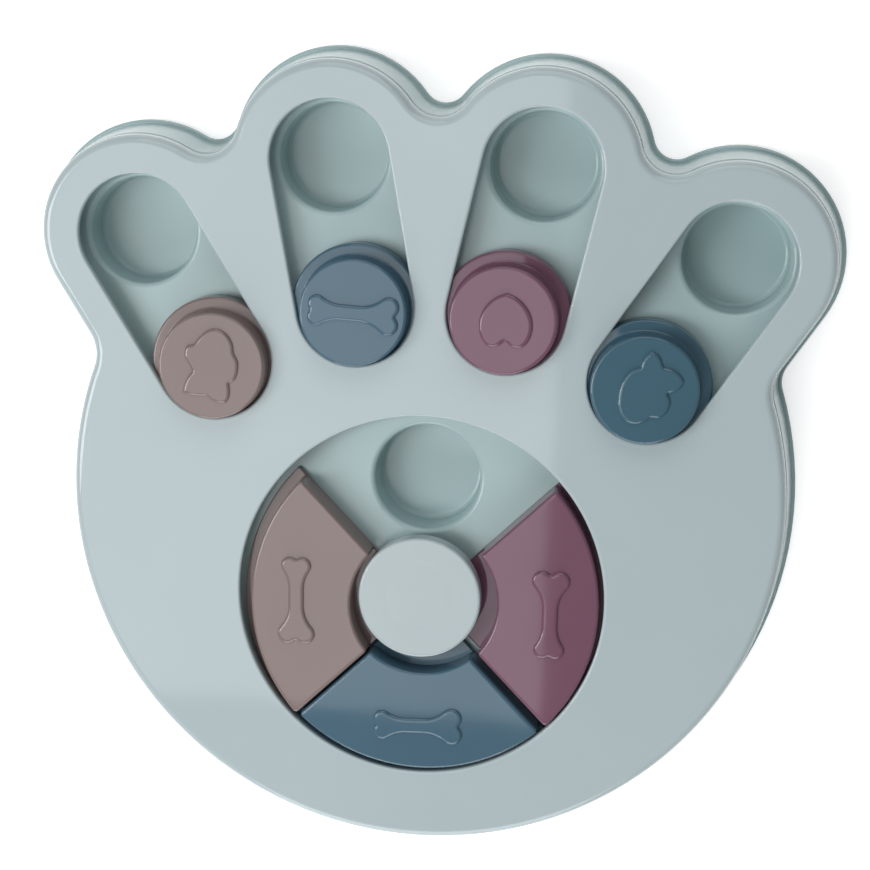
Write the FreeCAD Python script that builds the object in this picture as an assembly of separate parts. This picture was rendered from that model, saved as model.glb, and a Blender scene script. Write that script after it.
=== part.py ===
import FreeCAD, Part

import math
import os

# Paw-shaped puzzle feeder for a dog, in millimetres.
# Plan sizes are measured from the wheel's axis, with +Y towards the toes.
# Heights are measured from the surface that the feet stand on.
# At the end every piece is moved so that the origin is below the middle of the plan.

# Plan of the cover
PALM_RADIUS = 127.2
PALM_CENTRE_Y = 36.0
TOE_EDGE = 13.0
VALLEY_RADIUS = 12.5
SHOULDER_RADIUS = 14.0

# Slots in the toes: the end nearest the palm, and how far each slot leans outwards
SLOT_RADIUS = 21.0
SLOT_TRAVEL = 52.2
OUTER_TOE_X = 76.9
OUTER_TOE_Y = 81.9
OUTER_TOE_LEAN = 32.8
INNER_TOE_X = 26.6
INNER_TOE_Y = 103.6
INNER_TOE_LEAN = 11.7

# Round hole for the wheel
WHEEL_HOLE_RADIUS = 65.9

# Heights, stacked from the surface up
FOOT_PROUD = 1.6
CUP_FLOOR_WALL = 1.8
CUP_DEPTH = 14.35
TRAY_WALL = 2.0
RUN_DEPTH = 8.05
COVER_WALL = 2.2

# Cover shell
SKIRT_DEPTH = 6.0
SKIRT_WALL = 2.2
SKIRT_FLARE = 0.8
COVER_EDGE_ROUND = 3.0
OPENING_EDGE_ROUND = 0.8

# Tray shell
TRAY_LEDGE = 0.9
TRAY_FLARE = 2.4
TRAY_SIDE_WALL = 2.2
TRAY_LEDGE_ROUND = 0.5
FOOT_RIM_REACH = 4.4
FOOT_RIM_HEIGHT = 2.2
FOOT_RIM_ROUND = 0.9
TONGUE_WALL = 1.8
TONGUE_GAP = 0.3
TONGUE_TOP_GAP = 0.5
PARTING_GAP = 0.2

# Food cups
CUP_FLOOR_RADIUS = 17.0
CUP_CORNER_ROUND = 1.6
CUP_DRAFT = 0.6
CUP_RIM_ROUND = 1.6
CUP_WALL = 1.8
WHEEL_CUP_REACH = 41.8
WHEEL_CUPS = 4

# Toe sliders
SLIDER_FLANGE_RADIUS = 23.3
SLIDER_KNOB_RADIUS = 18.9
SLIDER_KNOB_DRAFT = 0.3
SLIDER_KNOB_PROUD = 6.5
SLIDER_WALL = 1.8
SLIDER_EDGE_ROUND = 0.9
SLIDER_FOOT_ROUND = 0.8
SLIDER_INWARD = 1.2
SLIDE_GAP = 0.3
FLANGE_TOP_GAP = 0.4
CURB_GAP = 1.5
CURB_WALL = 1.6

# Wheel lids
LID_INNER_RADIUS = 28.0
LID_RIM_GAP = 1.8
LID_SIDE_GAP = 2.0
LID_PROUD = 1.5
LID_WALL = 2.0
LID_DRAFT = 0.3
LID_EDGE_ROUND = 1.0
LIP_THICKNESS = 2.2
LIP_UNDER_RIM = 2.0
LIP_UNDER_CAP = 3.0
LID_CURB_GAP = 2.1
LEFT_LID_SHIFT_X = 2.9
LEFT_LID_SHIFT_Y = -3.2
HEEL_LID_SHIFT_X = 1.0
HEEL_LID_SHIFT_Y = -0.1
RIGHT_LID_SHIFT_X = 0.1
RIGHT_LID_SHIFT_Y = -1.4
RIM_RIB_SETBACK = 0.8
RIM_RIB_WALL = 1.6
RIM_RIB_GAP = 0.6

# Hub
CAP_RADIUS = 22.0
CAP_PROUD = 1.9
CAP_THICKNESS = 2.2
CAP_SKIRT_DEPTH = 3.7
CAP_WALL = 1.8
CAP_EDGE_ROUND = 0.9
POST_RADIUS = 13.5
POST_WALL = 2.0
POST_HEIGHT = 4.75
POST_FOOT_ROUND = 1.2

# Motifs raised on the knobs and lids
MOTIF_HEIGHT = 1.0
MOTIF_ROUND = 0.7
MOTIF_ROOT = 0.6
MOTIF_UNIT = 1.0
LID_MOTIF_REACH = 47.6
BONE_HALF_LENGTH = 12.6
BONE_SMALL_LOBE = 3.3
BONE_SMALL_SPREAD = 2.7
BONE_BIG_LOBE = 3.9
BONE_BIG_SPREAD = 3.6
BONE_SHAFT_HALF_WIDTH = 2.9
BONE_NECK_ROUND = 5.0
BONE_NOTCH_ROUND = 0.9
KNOB_BONE_TURN = -7.0

# Screws, their bosses and the ribs below the tray
SCREW_SHANK_RADIUS = 1.4
SCREW_SHANK_GAP = 0.05
SCREW_CLEARANCE_RADIUS = 1.8
SCREW_HEAD_RADIUS = 2.9
SCREW_HEAD_HEIGHT = 1.9
SCREW_HEAD_ROUND = 0.7
SCREW_BITE = 7.0
SCREW_POINT = 0.9
CROSS_LENGTH = 3.2
CROSS_WIDTH = 0.7
CROSS_DEPTH = 1.1
BOSS_RADIUS = 4.0
COLLAR_INNER_RADIUS = 3.6
COLLAR_WALL = 1.6
COLLAR_HEIGHT = 4.0
RIB_WALL = 1.5
RIB_HEIGHT = 5.0

# Rubber feet
FOOT_RADIUS = 7.0
FOOT_POCKET_DEPTH = 0.6
FOOT_POCKET_GAP = 0.1
FOOT_EDGE_ROUND = 0.5
FOOT_WELL_RADIUS = 7.6
FOOT_WELL_DRAFT = 0.6

# Heights worked out from the stack
CUP_FLOOR = FOOT_PROUD + CUP_FLOOR_WALL
TRAY_FLOOR = CUP_FLOOR + CUP_DEPTH
TRAY_UNDER = TRAY_FLOOR - TRAY_WALL
COVER_UNDER = TRAY_FLOOR + RUN_DEPTH
COVER_TOP = COVER_UNDER + COVER_WALL
PARTING = COVER_TOP - SKIRT_DEPTH
LEDGE_TOP = PARTING - PARTING_GAP
SLIDE_LEVEL = TRAY_FLOOR + SLIDE_GAP
LIP_TOP = SLIDE_LEVEL + LIP_THICKNESS
LID_TOP = COVER_TOP + LID_PROUD
KNOB_TOP = COVER_TOP + SLIDER_KNOB_PROUD
CAP_TOP = COVER_TOP + CAP_PROUD
CAP_UNDER = CAP_TOP - CAP_THICKNESS
POST_TOP = TRAY_FLOOR + POST_HEIGHT
TONGUE_TOP = COVER_UNDER - TONGUE_TOP_GAP
CUT_MARGIN = 5.0

# Plan radii worked out from each other
TOE_RADIUS = SLOT_RADIUS + TOE_EDGE
CUP_WALL_RADIUS = CUP_FLOOR_RADIUS + CUP_CORNER_ROUND
CUP_TOP_RADIUS = CUP_WALL_RADIUS + CUP_DRAFT
SLIDER_CURB_RADIUS = SLIDER_FLANGE_RADIUS + CURB_GAP
LID_OUTER_RADIUS = WHEEL_HOLE_RADIUS - LID_RIM_GAP
LIP_OUTER_RADIUS = WHEEL_HOLE_RADIUS + LIP_UNDER_RIM
LIP_INNER_RADIUS = CAP_RADIUS - LIP_UNDER_CAP
WHEEL_CURB_RADIUS = LIP_OUTER_RADIUS + LID_CURB_GAP
SLIDER_RUN = SLOT_TRAVEL + 2.0 * SLIDER_INWARD

# Loose lids: the quarter that each covers, and how far it lies off the wheel's axis
LIDS = (
    ("wheel_lid_left", 180.0, LEFT_LID_SHIFT_X, LEFT_LID_SHIFT_Y),
    ("wheel_lid_heel", 270.0, HEEL_LID_SHIFT_X, HEEL_LID_SHIFT_Y),
    ("wheel_lid_right", 0.0, RIGHT_LID_SHIFT_X, RIGHT_LID_SHIFT_Y),
)

# Cover screws, each on a rib below the tray
SCREWS = (
    ("cover_screw_left_toes", -66.0, 125.0),
    ("cover_screw_middle_toes", 0.0, 132.0),
    ("cover_screw_right_toes", 66.0, 125.0),
    ("cover_screw_left_side", -100.0, 10.0),
    ("cover_screw_right_side", 100.0, 10.0),
    ("cover_screw_heel", 0.0, -79.2),
)

# Feet under the palm. The others are under the outer cup of each toe.
PALM_FEET = (
    ("foot_palm_left", -50.0, -64.0),
    ("foot_palm_right", 50.0, -64.0),
)

# Outlines of the three freehand motifs, in motif units from the knob's axis.
# Each is a ring of smooth runs that meet at corners.
DOG_HEAD = (
    ((-6.2, 7.7), (-8.4, 7.0), (-9.4, 5.4), (-9.4, 2.9), (-7.9, 0.5), (-6.5, -2.0)),
    ((-6.5, -2.0), (-8.2, -4.2), (-9.5, -7.2), (-10.0, -9.9)),
    ((-10.0, -9.9), (-6.7, -10.6), (-3.5, -10.9), (-1.1, -10.6)),
    ((-1.1, -10.6), (0.5, -12.0), (3.0, -12.9), (5.6, -12.9)),
    ((5.6, -12.9), (6.8, -10.9), (7.1, -8.4), (6.7, -5.7)),
    ((6.7, -5.7), (8.8, -4.3), (9.8, -1.4), (9.8, 2.2), (8.3, 5.2), (7.9, 8.1), (6.4, 10.9),
     (4.1, 12.9), (1.6, 13.6), (-1.3, 12.8), (-3.8, 10.7), (-6.2, 7.7)),
)
BERRY = (
    ((-2.0, 8.1), (-1.5, 10.4), (-0.2, 12.5), (1.6, 13.7), (3.6, 13.0), (5.0, 11.2), (6.1, 8.5)),
    ((6.1, 8.5), (8.2, 8.2), (10.4, 7.3), (12.2, 5.8), (13.4, 3.9)),
    ((13.4, 3.9), (12.4, 1.9), (10.5, 0.3), (7.8, -0.6)),
    ((7.8, -0.6), (9.0, -3.0), (8.6, -5.8), (7.2, -8.0), (5.2, -9.4), (2.6, -9.4), (0.0, -11.2),
     (-2.6, -11.9), (-5.4, -11.4), (-7.9, -9.3), (-9.1, -6.2), (-9.2, -3.0), (-8.8, 0.4), (-7.6, 3.8),
     (-5.2, 6.8), (-2.0, 8.1)),
)
HEART = (
    ((1.0, -6.8), (-1.2, -8.6), (-3.8, -9.2), (-6.2, -7.9), (-7.9, -4.8), (-8.4, -1.0), (-7.5, 2.7),
     (-5.5, 5.9), (-2.6, 8.4), (1.0, 9.9)),
    ((1.0, 9.9), (4.6, 8.4), (7.5, 5.9), (9.5, 2.7), (10.4, -1.0), (9.9, -4.8), (8.2, -7.9),
     (5.8, -9.2), (3.2, -8.6), (1.0, -6.8)),
)


def vec(x, y, z=0.0):
    return FreeCAD.Vector(x, y, z)


def polar(radius, degrees):
    turn = math.radians(degrees)
    return vec(radius * math.cos(turn), radius * math.sin(turn))


def unit(start, end):
    step = end - start
    return step * (1.0 / step.Length)


def arc(centre, start, end, turn):
    """Arc about centre from start to end: turn is +1 for anticlockwise, -1 for clockwise."""
    radius = (start - centre).Length
    first = math.atan2(start.y - centre.y, start.x - centre.x)
    last = math.atan2(end.y - centre.y, end.x - centre.x)
    sweep = ((last - first) * turn) % (2.0 * math.pi)
    middle = first + turn * sweep / 2.0
    through = centre + vec(radius * math.cos(middle), radius * math.sin(middle))
    return Part.Arc(start, through, end).toShape()


def line(start, end):
    return Part.LineSegment(start, end).toShape()


def prism(wire, low, high):
    """Solid between two heights over a flat outline."""
    solid = Part.Face(wire).extrude(vec(0, 0, high - low))
    solid.translate(vec(0, 0, low))
    return solid


def tapered(low_wire, low, high_wire, high):
    """Solid between two heights whose outline changes evenly on the way up."""
    lower = low_wire.copy()
    lower.translate(vec(0, 0, low))
    upper = high_wire.copy()
    upper.translate(vec(0, 0, high))
    return Part.makeLoft([lower, upper], True, True)


def edges_at(shape, height):
    """Edges that lie flat at one height."""
    found = []
    for edge in shape.Edges:
        flat = all(abs(point.z - height) < 1e-4 for point in edge.discretize(5))
        if flat:
            found.append(edge)
    return found


def turned(points, place):
    """Solid of revolution about an upright axis.

    Each point is radius, height and the radius of its rounded corner.
    """
    count = len(points)
    corners = [vec(point[0], 0, point[1]) for point in points]
    edges = []
    starts = []
    ends = []
    for index, corner in enumerate(corners):
        towards_last = unit(corner, corners[index - 1])
        towards_next = unit(corner, corners[(index + 1) % count])
        rounding = points[index][2]
        if rounding == 0.0:
            starts.append(corner)
            ends.append(corner)
            continue
        half = math.acos(towards_last.dot(towards_next)) / 2.0
        tangent = rounding / math.tan(half)
        bisector = (towards_last + towards_next).normalize()
        start = corner + towards_last * tangent
        end = corner + towards_next * tangent
        through = corner + bisector * (rounding / math.sin(half) - rounding)
        edges.append(Part.Arc(start, through, end).toShape())
        starts.append(start)
        ends.append(end)
    for index in range(count):
        edges.append(line(ends[index], starts[(index + 1) % count]))
    wire = Part.Wire(Part.__sortEdges__(edges))
    solid = Part.Face(wire).revolve(vec(0, 0), vec(0, 0, 1), 360)
    solid.translate(vec(place.x, place.y))
    return solid


def tube(outer, inner, low, high, place):
    """Upright tube."""
    points = [(inner, low, 0.0), (outer, low, 0.0), (outer, high, 0.0), (inner, high, 0.0)]
    return turned(points, place)


def rod(radius, low, high, place):
    return Part.makeCylinder(radius, high - low, vec(place.x, place.y, low))


def toes():
    """Name, inner slot end, outward direction and outer slot end of the four toes, left to right."""
    found = []
    for name, side, x, y, lean in (
        ("outer_left", -1, OUTER_TOE_X, OUTER_TOE_Y, OUTER_TOE_LEAN),
        ("inner_left", -1, INNER_TOE_X, INNER_TOE_Y, INNER_TOE_LEAN),
        ("inner_right", 1, INNER_TOE_X, INNER_TOE_Y, INNER_TOE_LEAN),
        ("outer_right", 1, OUTER_TOE_X, OUTER_TOE_Y, OUTER_TOE_LEAN),
    ):
        turn = math.radians(lean)
        inner = vec(side * x, y)
        outwards = vec(side * math.sin(turn), math.cos(turn))
        found.append((name, inner, outwards, inner + outwards * SLOT_TRAVEL))
    return found


def paw_outline(offset):
    """Outline of the paw, anticlockwise, moved outwards from the cover's edge by offset."""
    palm = vec(0, PALM_CENTRE_Y)
    palm_radius = PALM_RADIUS + offset
    toe_radius = TOE_RADIUS + offset
    valley = VALLEY_RADIUS - offset
    shoulder = SHOULDER_RADIUS - offset
    turn = math.radians(OUTER_TOE_LEAN)
    tip = toes()[3][3]
    sideways = vec(math.cos(turn), -math.sin(turn))
    inwards = vec(-math.sin(turn), -math.cos(turn))

    # The shoulder's centre is as far from the toe's straight side as from the palm
    from_palm = tip + sideways * (toe_radius + shoulder) - palm
    reach = palm_radius + shoulder
    along = -from_palm.dot(inwards)
    along -= math.sqrt(along ** 2 - from_palm.dot(from_palm) + reach ** 2)
    shoulder_centre = palm + from_palm + inwards * along
    on_palm = palm + unit(palm, shoulder_centre) * palm_radius
    on_toe = shoulder_centre - sideways * shoulder
    side_top = tip + sideways * toe_radius

    edges = [arc(shoulder_centre, on_palm, on_toe, -1), line(on_toe, side_top)]
    start = side_top
    tips = [toe[3] for toe in reversed(toes())]
    for here, following in zip(tips, tips[1:]):
        half = (following - here).Length / 2.0
        between = unit(here, following)
        outwards = vec(between.y, -between.x)
        rise = math.sqrt((toe_radius + valley) ** 2 - half ** 2)
        valley_centre = (here + following) * 0.5 + outwards * rise
        leave = here + unit(here, valley_centre) * toe_radius
        meet = following + unit(following, valley_centre) * toe_radius
        edges.append(arc(here, start, leave, 1))
        edges.append(arc(valley_centre, leave, meet, -1))
        start = meet
    far_side_top = mirrored(side_top)
    far_on_toe = mirrored(on_toe)
    far_on_palm = mirrored(on_palm)
    edges.append(arc(tips[-1], start, far_side_top, 1))
    edges.append(line(far_side_top, far_on_toe))
    edges.append(arc(mirrored(shoulder_centre), far_on_toe, far_on_palm, -1))
    edges.append(arc(palm, far_on_palm, on_palm, 1))
    return Part.Wire(edges)


def mirrored(point):
    return vec(-point.x, point.y, point.z)


def plan_middle():
    """Middle of the tray's plan, where the part's origin is."""
    box = paw_outline(FOOT_RIM_REACH).BoundBox
    return vec((box.XMin + box.XMax) / 2.0, (box.YMin + box.YMax) / 2.0)


def slot_outline(inner, outer, radius):
    """Long hole with round ends."""
    along = unit(inner, outer)
    side = vec(-along.y, along.x) * radius
    return Part.Wire([
        line(inner - side, outer - side),
        arc(outer, outer - side, outer + side, 1),
        line(outer + side, inner + side),
        arc(inner, inner + side, inner - side, 1),
    ])


def sector_outline(inner_radius, outer_radius, side_gap):
    """Quarter sector about +X whose straight sides stay side_gap inside the quarter."""
    corners = []
    for radius, side in ((inner_radius, -1), (outer_radius, -1), (outer_radius, 1), (inner_radius, 1)):
        along = polar(1.0, side * 45.0)
        inwards = polar(1.0, -side * 45.0)
        corners.append(along * math.sqrt(radius ** 2 - side_gap ** 2) + inwards * side_gap)
    axis = vec(0, 0)
    return Part.Wire([
        line(corners[0], corners[1]),
        arc(axis, corners[1], corners[2], 1),
        line(corners[2], corners[3]),
        arc(axis, corners[3], corners[0], -1),
    ])


def bone_end(half_length, lobe, spread, side):
    """Arcs round one end of the bone, from its lower shaft line to its upper one."""
    shaft = BONE_SHAFT_HALF_WIDTH
    neck_reach = lobe + BONE_NECK_ROUND
    neck_rise = shaft + BONE_NECK_ROUND - spread
    neck_x = half_length - math.sqrt(neck_reach ** 2 - neck_rise ** 2)
    notch_x = half_length + math.sqrt((lobe + BONE_NOTCH_ROUND) ** 2 - spread ** 2)
    low_neck = vec(side * neck_x, -side * (shaft + BONE_NECK_ROUND))
    low_lobe = vec(side * half_length, -side * spread)
    notch = vec(side * notch_x, 0)
    high_lobe = vec(side * half_length, side * spread)
    high_neck = vec(side * neck_x, side * (shaft + BONE_NECK_ROUND))
    start = vec(side * neck_x, -side * shaft)
    low_join = low_lobe + unit(low_lobe, low_neck) * lobe
    low_notch = low_lobe + unit(low_lobe, notch) * lobe
    high_notch = high_lobe + unit(high_lobe, notch) * lobe
    high_join = high_lobe + unit(high_lobe, high_neck) * lobe
    end = vec(side * neck_x, side * shaft)
    edges = [
        arc(low_neck, start, low_join, -1),
        arc(low_lobe, low_join, low_notch, 1),
        arc(notch, low_notch, high_notch, -1),
        arc(high_lobe, high_notch, high_join, 1),
        arc(high_neck, high_join, end, -1),
    ]
    return start, end, edges


def bone_outline():
    """Bone along X with its bigger end at +X."""
    big_start, big_end, big = bone_end(BONE_HALF_LENGTH, BONE_BIG_LOBE, BONE_BIG_SPREAD, 1)
    small_start, small_end, small = bone_end(BONE_HALF_LENGTH, BONE_SMALL_LOBE, BONE_SMALL_SPREAD, -1)
    edges = big + [line(big_end, small_start)] + small + [line(small_end, big_start)]
    return Part.Wire(edges)


def freehand_outline(runs):
    """Closed outline of smooth runs that meet at corners."""
    edges = []
    for points in runs:
        curve = Part.BSplineCurve()
        curve.interpolate([vec(x, y) * MOTIF_UNIT for x, y in points])
        edges.append(curve.toShape())
    return Part.Wire(edges)


def motif(outline, turn, place, level):
    """Low relief with a soft edge that stands on a surface at level."""
    relief = prism(outline, level - MOTIF_ROOT, level + MOTIF_HEIGHT)
    relief = relief.makeFillet(MOTIF_ROUND, edges_at(relief, level + MOTIF_HEIGHT))
    relief.rotate(vec(0, 0), vec(0, 0, 1), turn)
    relief.translate(vec(place.x, place.y))
    return relief


def middle_height(face):
    return face.CenterOfMass.z


def top_cover():
    """Shell with a skirt, four toe slots, the wheel hole, a rib behind its rim and screw bosses."""
    shell = tapered(paw_outline(SKIRT_FLARE), PARTING, paw_outline(0.0), COVER_TOP)
    shell = shell.makeFillet(COVER_EDGE_ROUND, edges_at(shell, COVER_TOP))
    hole = rod(WHEEL_HOLE_RADIUS, PARTING - CUT_MARGIN, COVER_TOP + CUT_MARGIN, vec(0, 0))
    openings = [hole]
    for name, inner, outwards, outer in toes():
        outline = slot_outline(inner, outer, SLOT_RADIUS)
        openings.append(prism(outline, PARTING - CUT_MARGIN, COVER_TOP + CUT_MARGIN))
    shell = shell.cut(openings)
    top = max(shell.Faces, key=middle_height)
    rims = []
    for wire in top.Wires:
        if not wire.isSame(top.OuterWire):
            rims.extend(wire.Edges)
    shell = shell.makeFillet(OPENING_EDGE_ROUND, rims)
    shell = shell.cut(prism(paw_outline(-SKIRT_WALL), PARTING - CUT_MARGIN, COVER_UNDER))
    additions = [rim_rib()]
    for name, x, y in SCREWS:
        additions.append(rod(BOSS_RADIUS, TRAY_FLOOR, COVER_UNDER, vec(x, y)))
    shell = shell.fuse(additions)
    bores = [screw_bore(vec(x, y), TRAY_FLOOR) for name, x, y in SCREWS]
    return shell.cut(bores)


def rim_rib():
    """Ring below the cover that keeps the lids' outer lips down."""
    inner = WHEEL_HOLE_RADIUS + RIM_RIB_SETBACK
    return tube(inner + RIM_RIB_WALL, inner, LIP_TOP + RIM_RIB_GAP, COVER_UNDER, vec(0, 0))


def screw_bore(place, level):
    """Blind hole that a screw cuts its thread in, upwards from level."""
    radius = SCREW_SHANK_RADIUS + SCREW_SHANK_GAP
    return rod(radius, level - SCREW_SHANK_GAP, level + SCREW_BITE + SCREW_SHANK_GAP, place)


def cup_void(place):
    """Space inside one food cup, with a soft rim and a soft corner at its floor."""
    points = [
        (0.0, CUP_FLOOR, 0.0),
        (CUP_WALL_RADIUS, CUP_FLOOR, CUP_CORNER_ROUND),
        (CUP_TOP_RADIUS, TRAY_FLOOR, CUP_RIM_ROUND),
        (CUP_TOP_RADIUS + CUT_MARGIN, TRAY_FLOOR, 0.0),
        (CUP_TOP_RADIUS + CUT_MARGIN, TRAY_FLOOR + CUT_MARGIN, 0.0),
        (0.0, TRAY_FLOOR + CUT_MARGIN, 0.0),
    ]
    space = turned(points, place)
    rim = CUP_TOP_RADIUS + CUP_RIM_ROUND
    return space.common(rod(rim, CUP_FLOOR, TRAY_FLOOR + CUT_MARGIN, place))


def cup_body(place):
    """Outside of one food cup below the tray."""
    points = [
        (0.0, FOOT_PROUD, 0.0),
        (CUP_WALL_RADIUS + CUP_WALL, FOOT_PROUD, CUP_CORNER_ROUND),
        (CUP_TOP_RADIUS + CUP_WALL, TRAY_FLOOR, 0.0),
        (0.0, TRAY_FLOOR, 0.0),
    ]
    return turned(points, place)


def foot_well_body(place):
    points = [
        (0.0, FOOT_PROUD, 0.0),
        (FOOT_WELL_RADIUS + CUP_WALL, FOOT_PROUD, CUP_CORNER_ROUND),
        (FOOT_WELL_RADIUS + FOOT_WELL_DRAFT + CUP_WALL, TRAY_FLOOR, 0.0),
        (0.0, TRAY_FLOOR, 0.0),
    ]
    return turned(points, place)


def foot_well_void(place):
    points = [
        (0.0, CUP_FLOOR, 0.0),
        (FOOT_WELL_RADIUS, CUP_FLOOR, 0.0),
        (FOOT_WELL_RADIUS + FOOT_WELL_DRAFT, TRAY_FLOOR, 0.0),
        (FOOT_WELL_RADIUS + FOOT_WELL_DRAFT, TRAY_FLOOR + CUT_MARGIN, 0.0),
        (0.0, TRAY_FLOOR + CUT_MARGIN, 0.0),
    ]
    return turned(points, place)


def cup_places():
    """Middle of each food cup: two below each toe slot and four below the wheel."""
    places = []
    for name, inner, outwards, outer in toes():
        places.append(inner)
        places.append(outer)
    for index in range(WHEEL_CUPS):
        places.append(polar(WHEEL_CUP_REACH, 90.0 + index * 360.0 / WHEEL_CUPS))
    return places


def foot_places():
    """Name and place of each rubber foot."""
    places = [("foot_toe_" + name, outer) for name, inner, outwards, outer in toes()]
    for name, x, y in PALM_FEET:
        places.append((name, vec(x, y)))
    return places


def rib(start, end):
    """Thin upright rib below the tray between two points of the plan."""
    along = unit(start, end)
    side = vec(-along.y, along.x) * (RIB_WALL / 2.0)
    outline = Part.makePolygon([start - side, end - side, end + side, start + side, start - side])
    return prism(outline, TRAY_UNDER - RIB_HEIGHT, TRAY_UNDER)


def ribs():
    """Spokes from the hub's post, and a rib from the wheel's ring through each screw to the wall."""
    hub = vec(0, 0)
    palm_width = 2.0 * PALM_RADIUS
    found = []
    for index in range(WHEEL_CUPS):
        spoke = 45.0 + index * 360.0 / WHEEL_CUPS
        found.append(rib(polar(POST_RADIUS - POST_WALL / 2.0, spoke), polar(WHEEL_CURB_RADIUS, spoke)))
    for name, x, y in SCREWS:
        place = vec(x, y)
        away = unit(hub, place)
        found.append(rib(away * WHEEL_CURB_RADIUS, away * palm_width))
    ring = tube(WHEEL_CURB_RADIUS + RIB_WALL, WHEEL_CURB_RADIUS, TRAY_UNDER - RIB_HEIGHT, TRAY_UNDER, hub)
    found.append(ring)
    wall_middle = wall_reach(TRAY_UNDER - RIB_HEIGHT) - TRAY_SIDE_WALL / 2.0
    inside = prism(paw_outline(wall_middle), TRAY_UNDER - RIB_HEIGHT, TRAY_UNDER)
    return [piece.common(inside) for piece in found]


def curbs():
    """Low walls on the tray that guide the sliders' flanges and the lids' lips."""
    hub = vec(0, 0)
    walls = [rod(WHEEL_CURB_RADIUS + CURB_WALL, TRAY_FLOOR, TONGUE_TOP, hub)]
    runs = [rod(WHEEL_CURB_RADIUS, TRAY_FLOOR, TONGUE_TOP, hub)]
    for name, inner, outwards, outer in toes():
        outline = slot_outline(inner, outer, SLIDER_CURB_RADIUS + CURB_WALL)
        walls.append(prism(outline, TRAY_FLOOR, TONGUE_TOP))
        runs.append(prism(slot_outline(inner, outer, SLIDER_CURB_RADIUS), TRAY_FLOOR, TONGUE_TOP))
    return [wall.cut(runs) for wall in walls]


def wall_reach(height):
    """How far the tray's flared wall stands outside the cover's outline at a height."""
    return TRAY_LEDGE + TRAY_FLARE * (LEDGE_TOP - height) / (LEDGE_TOP - FOOT_PROUD)


def tray_shell():
    """Flared side wall with a rim round its foot, floor and the tongue that the cover's skirt fits over."""
    block = tapered(paw_outline(wall_reach(FOOT_PROUD)), FOOT_PROUD, paw_outline(TRAY_LEDGE), LEDGE_TOP)
    block = block.makeFillet(TRAY_LEDGE_ROUND, edges_at(block, LEDGE_TOP))
    rim_top = FOOT_PROUD + FOOT_RIM_HEIGHT
    rim = prism(paw_outline(FOOT_RIM_REACH), FOOT_PROUD, rim_top)
    rim = rim.makeFillet(FOOT_RIM_ROUND, edges_at(rim, rim_top))
    tongue = SKIRT_WALL + TONGUE_GAP
    block = block.fuse([rim, prism(paw_outline(-tongue), TRAY_UNDER, TONGUE_TOP)])
    low = FOOT_PROUD - CUT_MARGIN
    low_line = paw_outline(wall_reach(low) - TRAY_SIDE_WALL)
    below = tapered(low_line, low, paw_outline(wall_reach(TRAY_UNDER) - TRAY_SIDE_WALL), TRAY_UNDER)
    above = prism(paw_outline(-tongue - TONGUE_WALL), TRAY_FLOOR, TONGUE_TOP + CUT_MARGIN)
    return block.cut([below, above])


def hub_post_body():
    plate_radius = POST_RADIUS + 2.0 * POST_FOOT_ROUND
    points = [
        (0.0, TRAY_UNDER, 0.0),
        (plate_radius, TRAY_UNDER, 0.0),
        (plate_radius, TRAY_FLOOR, 0.0),
        (POST_RADIUS, TRAY_FLOOR, POST_FOOT_ROUND),
        (POST_RADIUS, POST_TOP, 0.0),
        (0.0, POST_TOP, 0.0),
    ]
    return turned(points, vec(0, 0))


def base_tray():
    """Tray with twelve cups, guide curbs, the hub's post, screw collars, ribs and foot pockets."""
    shell = tray_shell()
    hub = vec(0, 0)
    additions = [cup_body(place) for place in cup_places()]
    additions.extend(foot_well_body(vec(x, y)) for name, x, y in PALM_FEET)
    additions.extend(curbs())
    additions.extend(ribs())
    additions.append(hub_post_body())
    for name, x, y in SCREWS:
        outer = COLLAR_INNER_RADIUS + COLLAR_WALL
        additions.append(rod(outer, TRAY_UNDER - COLLAR_HEIGHT, TRAY_UNDER, vec(x, y)))
    shell = shell.fuse(additions)
    voids = [cup_void(place) for place in cup_places()]
    voids.extend(foot_well_void(vec(x, y)) for name, x, y in PALM_FEET)
    voids.append(rod(POST_RADIUS - POST_WALL, TRAY_UNDER - RIB_HEIGHT, POST_TOP - POST_WALL, hub))
    voids.append(rod(SCREW_CLEARANCE_RADIUS, TRAY_UNDER, POST_TOP + CUT_MARGIN, hub))
    for name, x, y in SCREWS:
        place = vec(x, y)
        voids.append(rod(COLLAR_INNER_RADIUS, TRAY_UNDER - COLLAR_HEIGHT - CUT_MARGIN, TRAY_UNDER, place))
        voids.append(rod(SCREW_CLEARANCE_RADIUS, TRAY_UNDER, TRAY_FLOOR + CUT_MARGIN, place))
    for name, place in foot_places():
        pocket = FOOT_RADIUS + FOOT_POCKET_GAP
        voids.append(rod(pocket, FOOT_PROUD - CUT_MARGIN, FOOT_PROUD + FOOT_POCKET_DEPTH, place))
    return shell.cut(voids)


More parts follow.
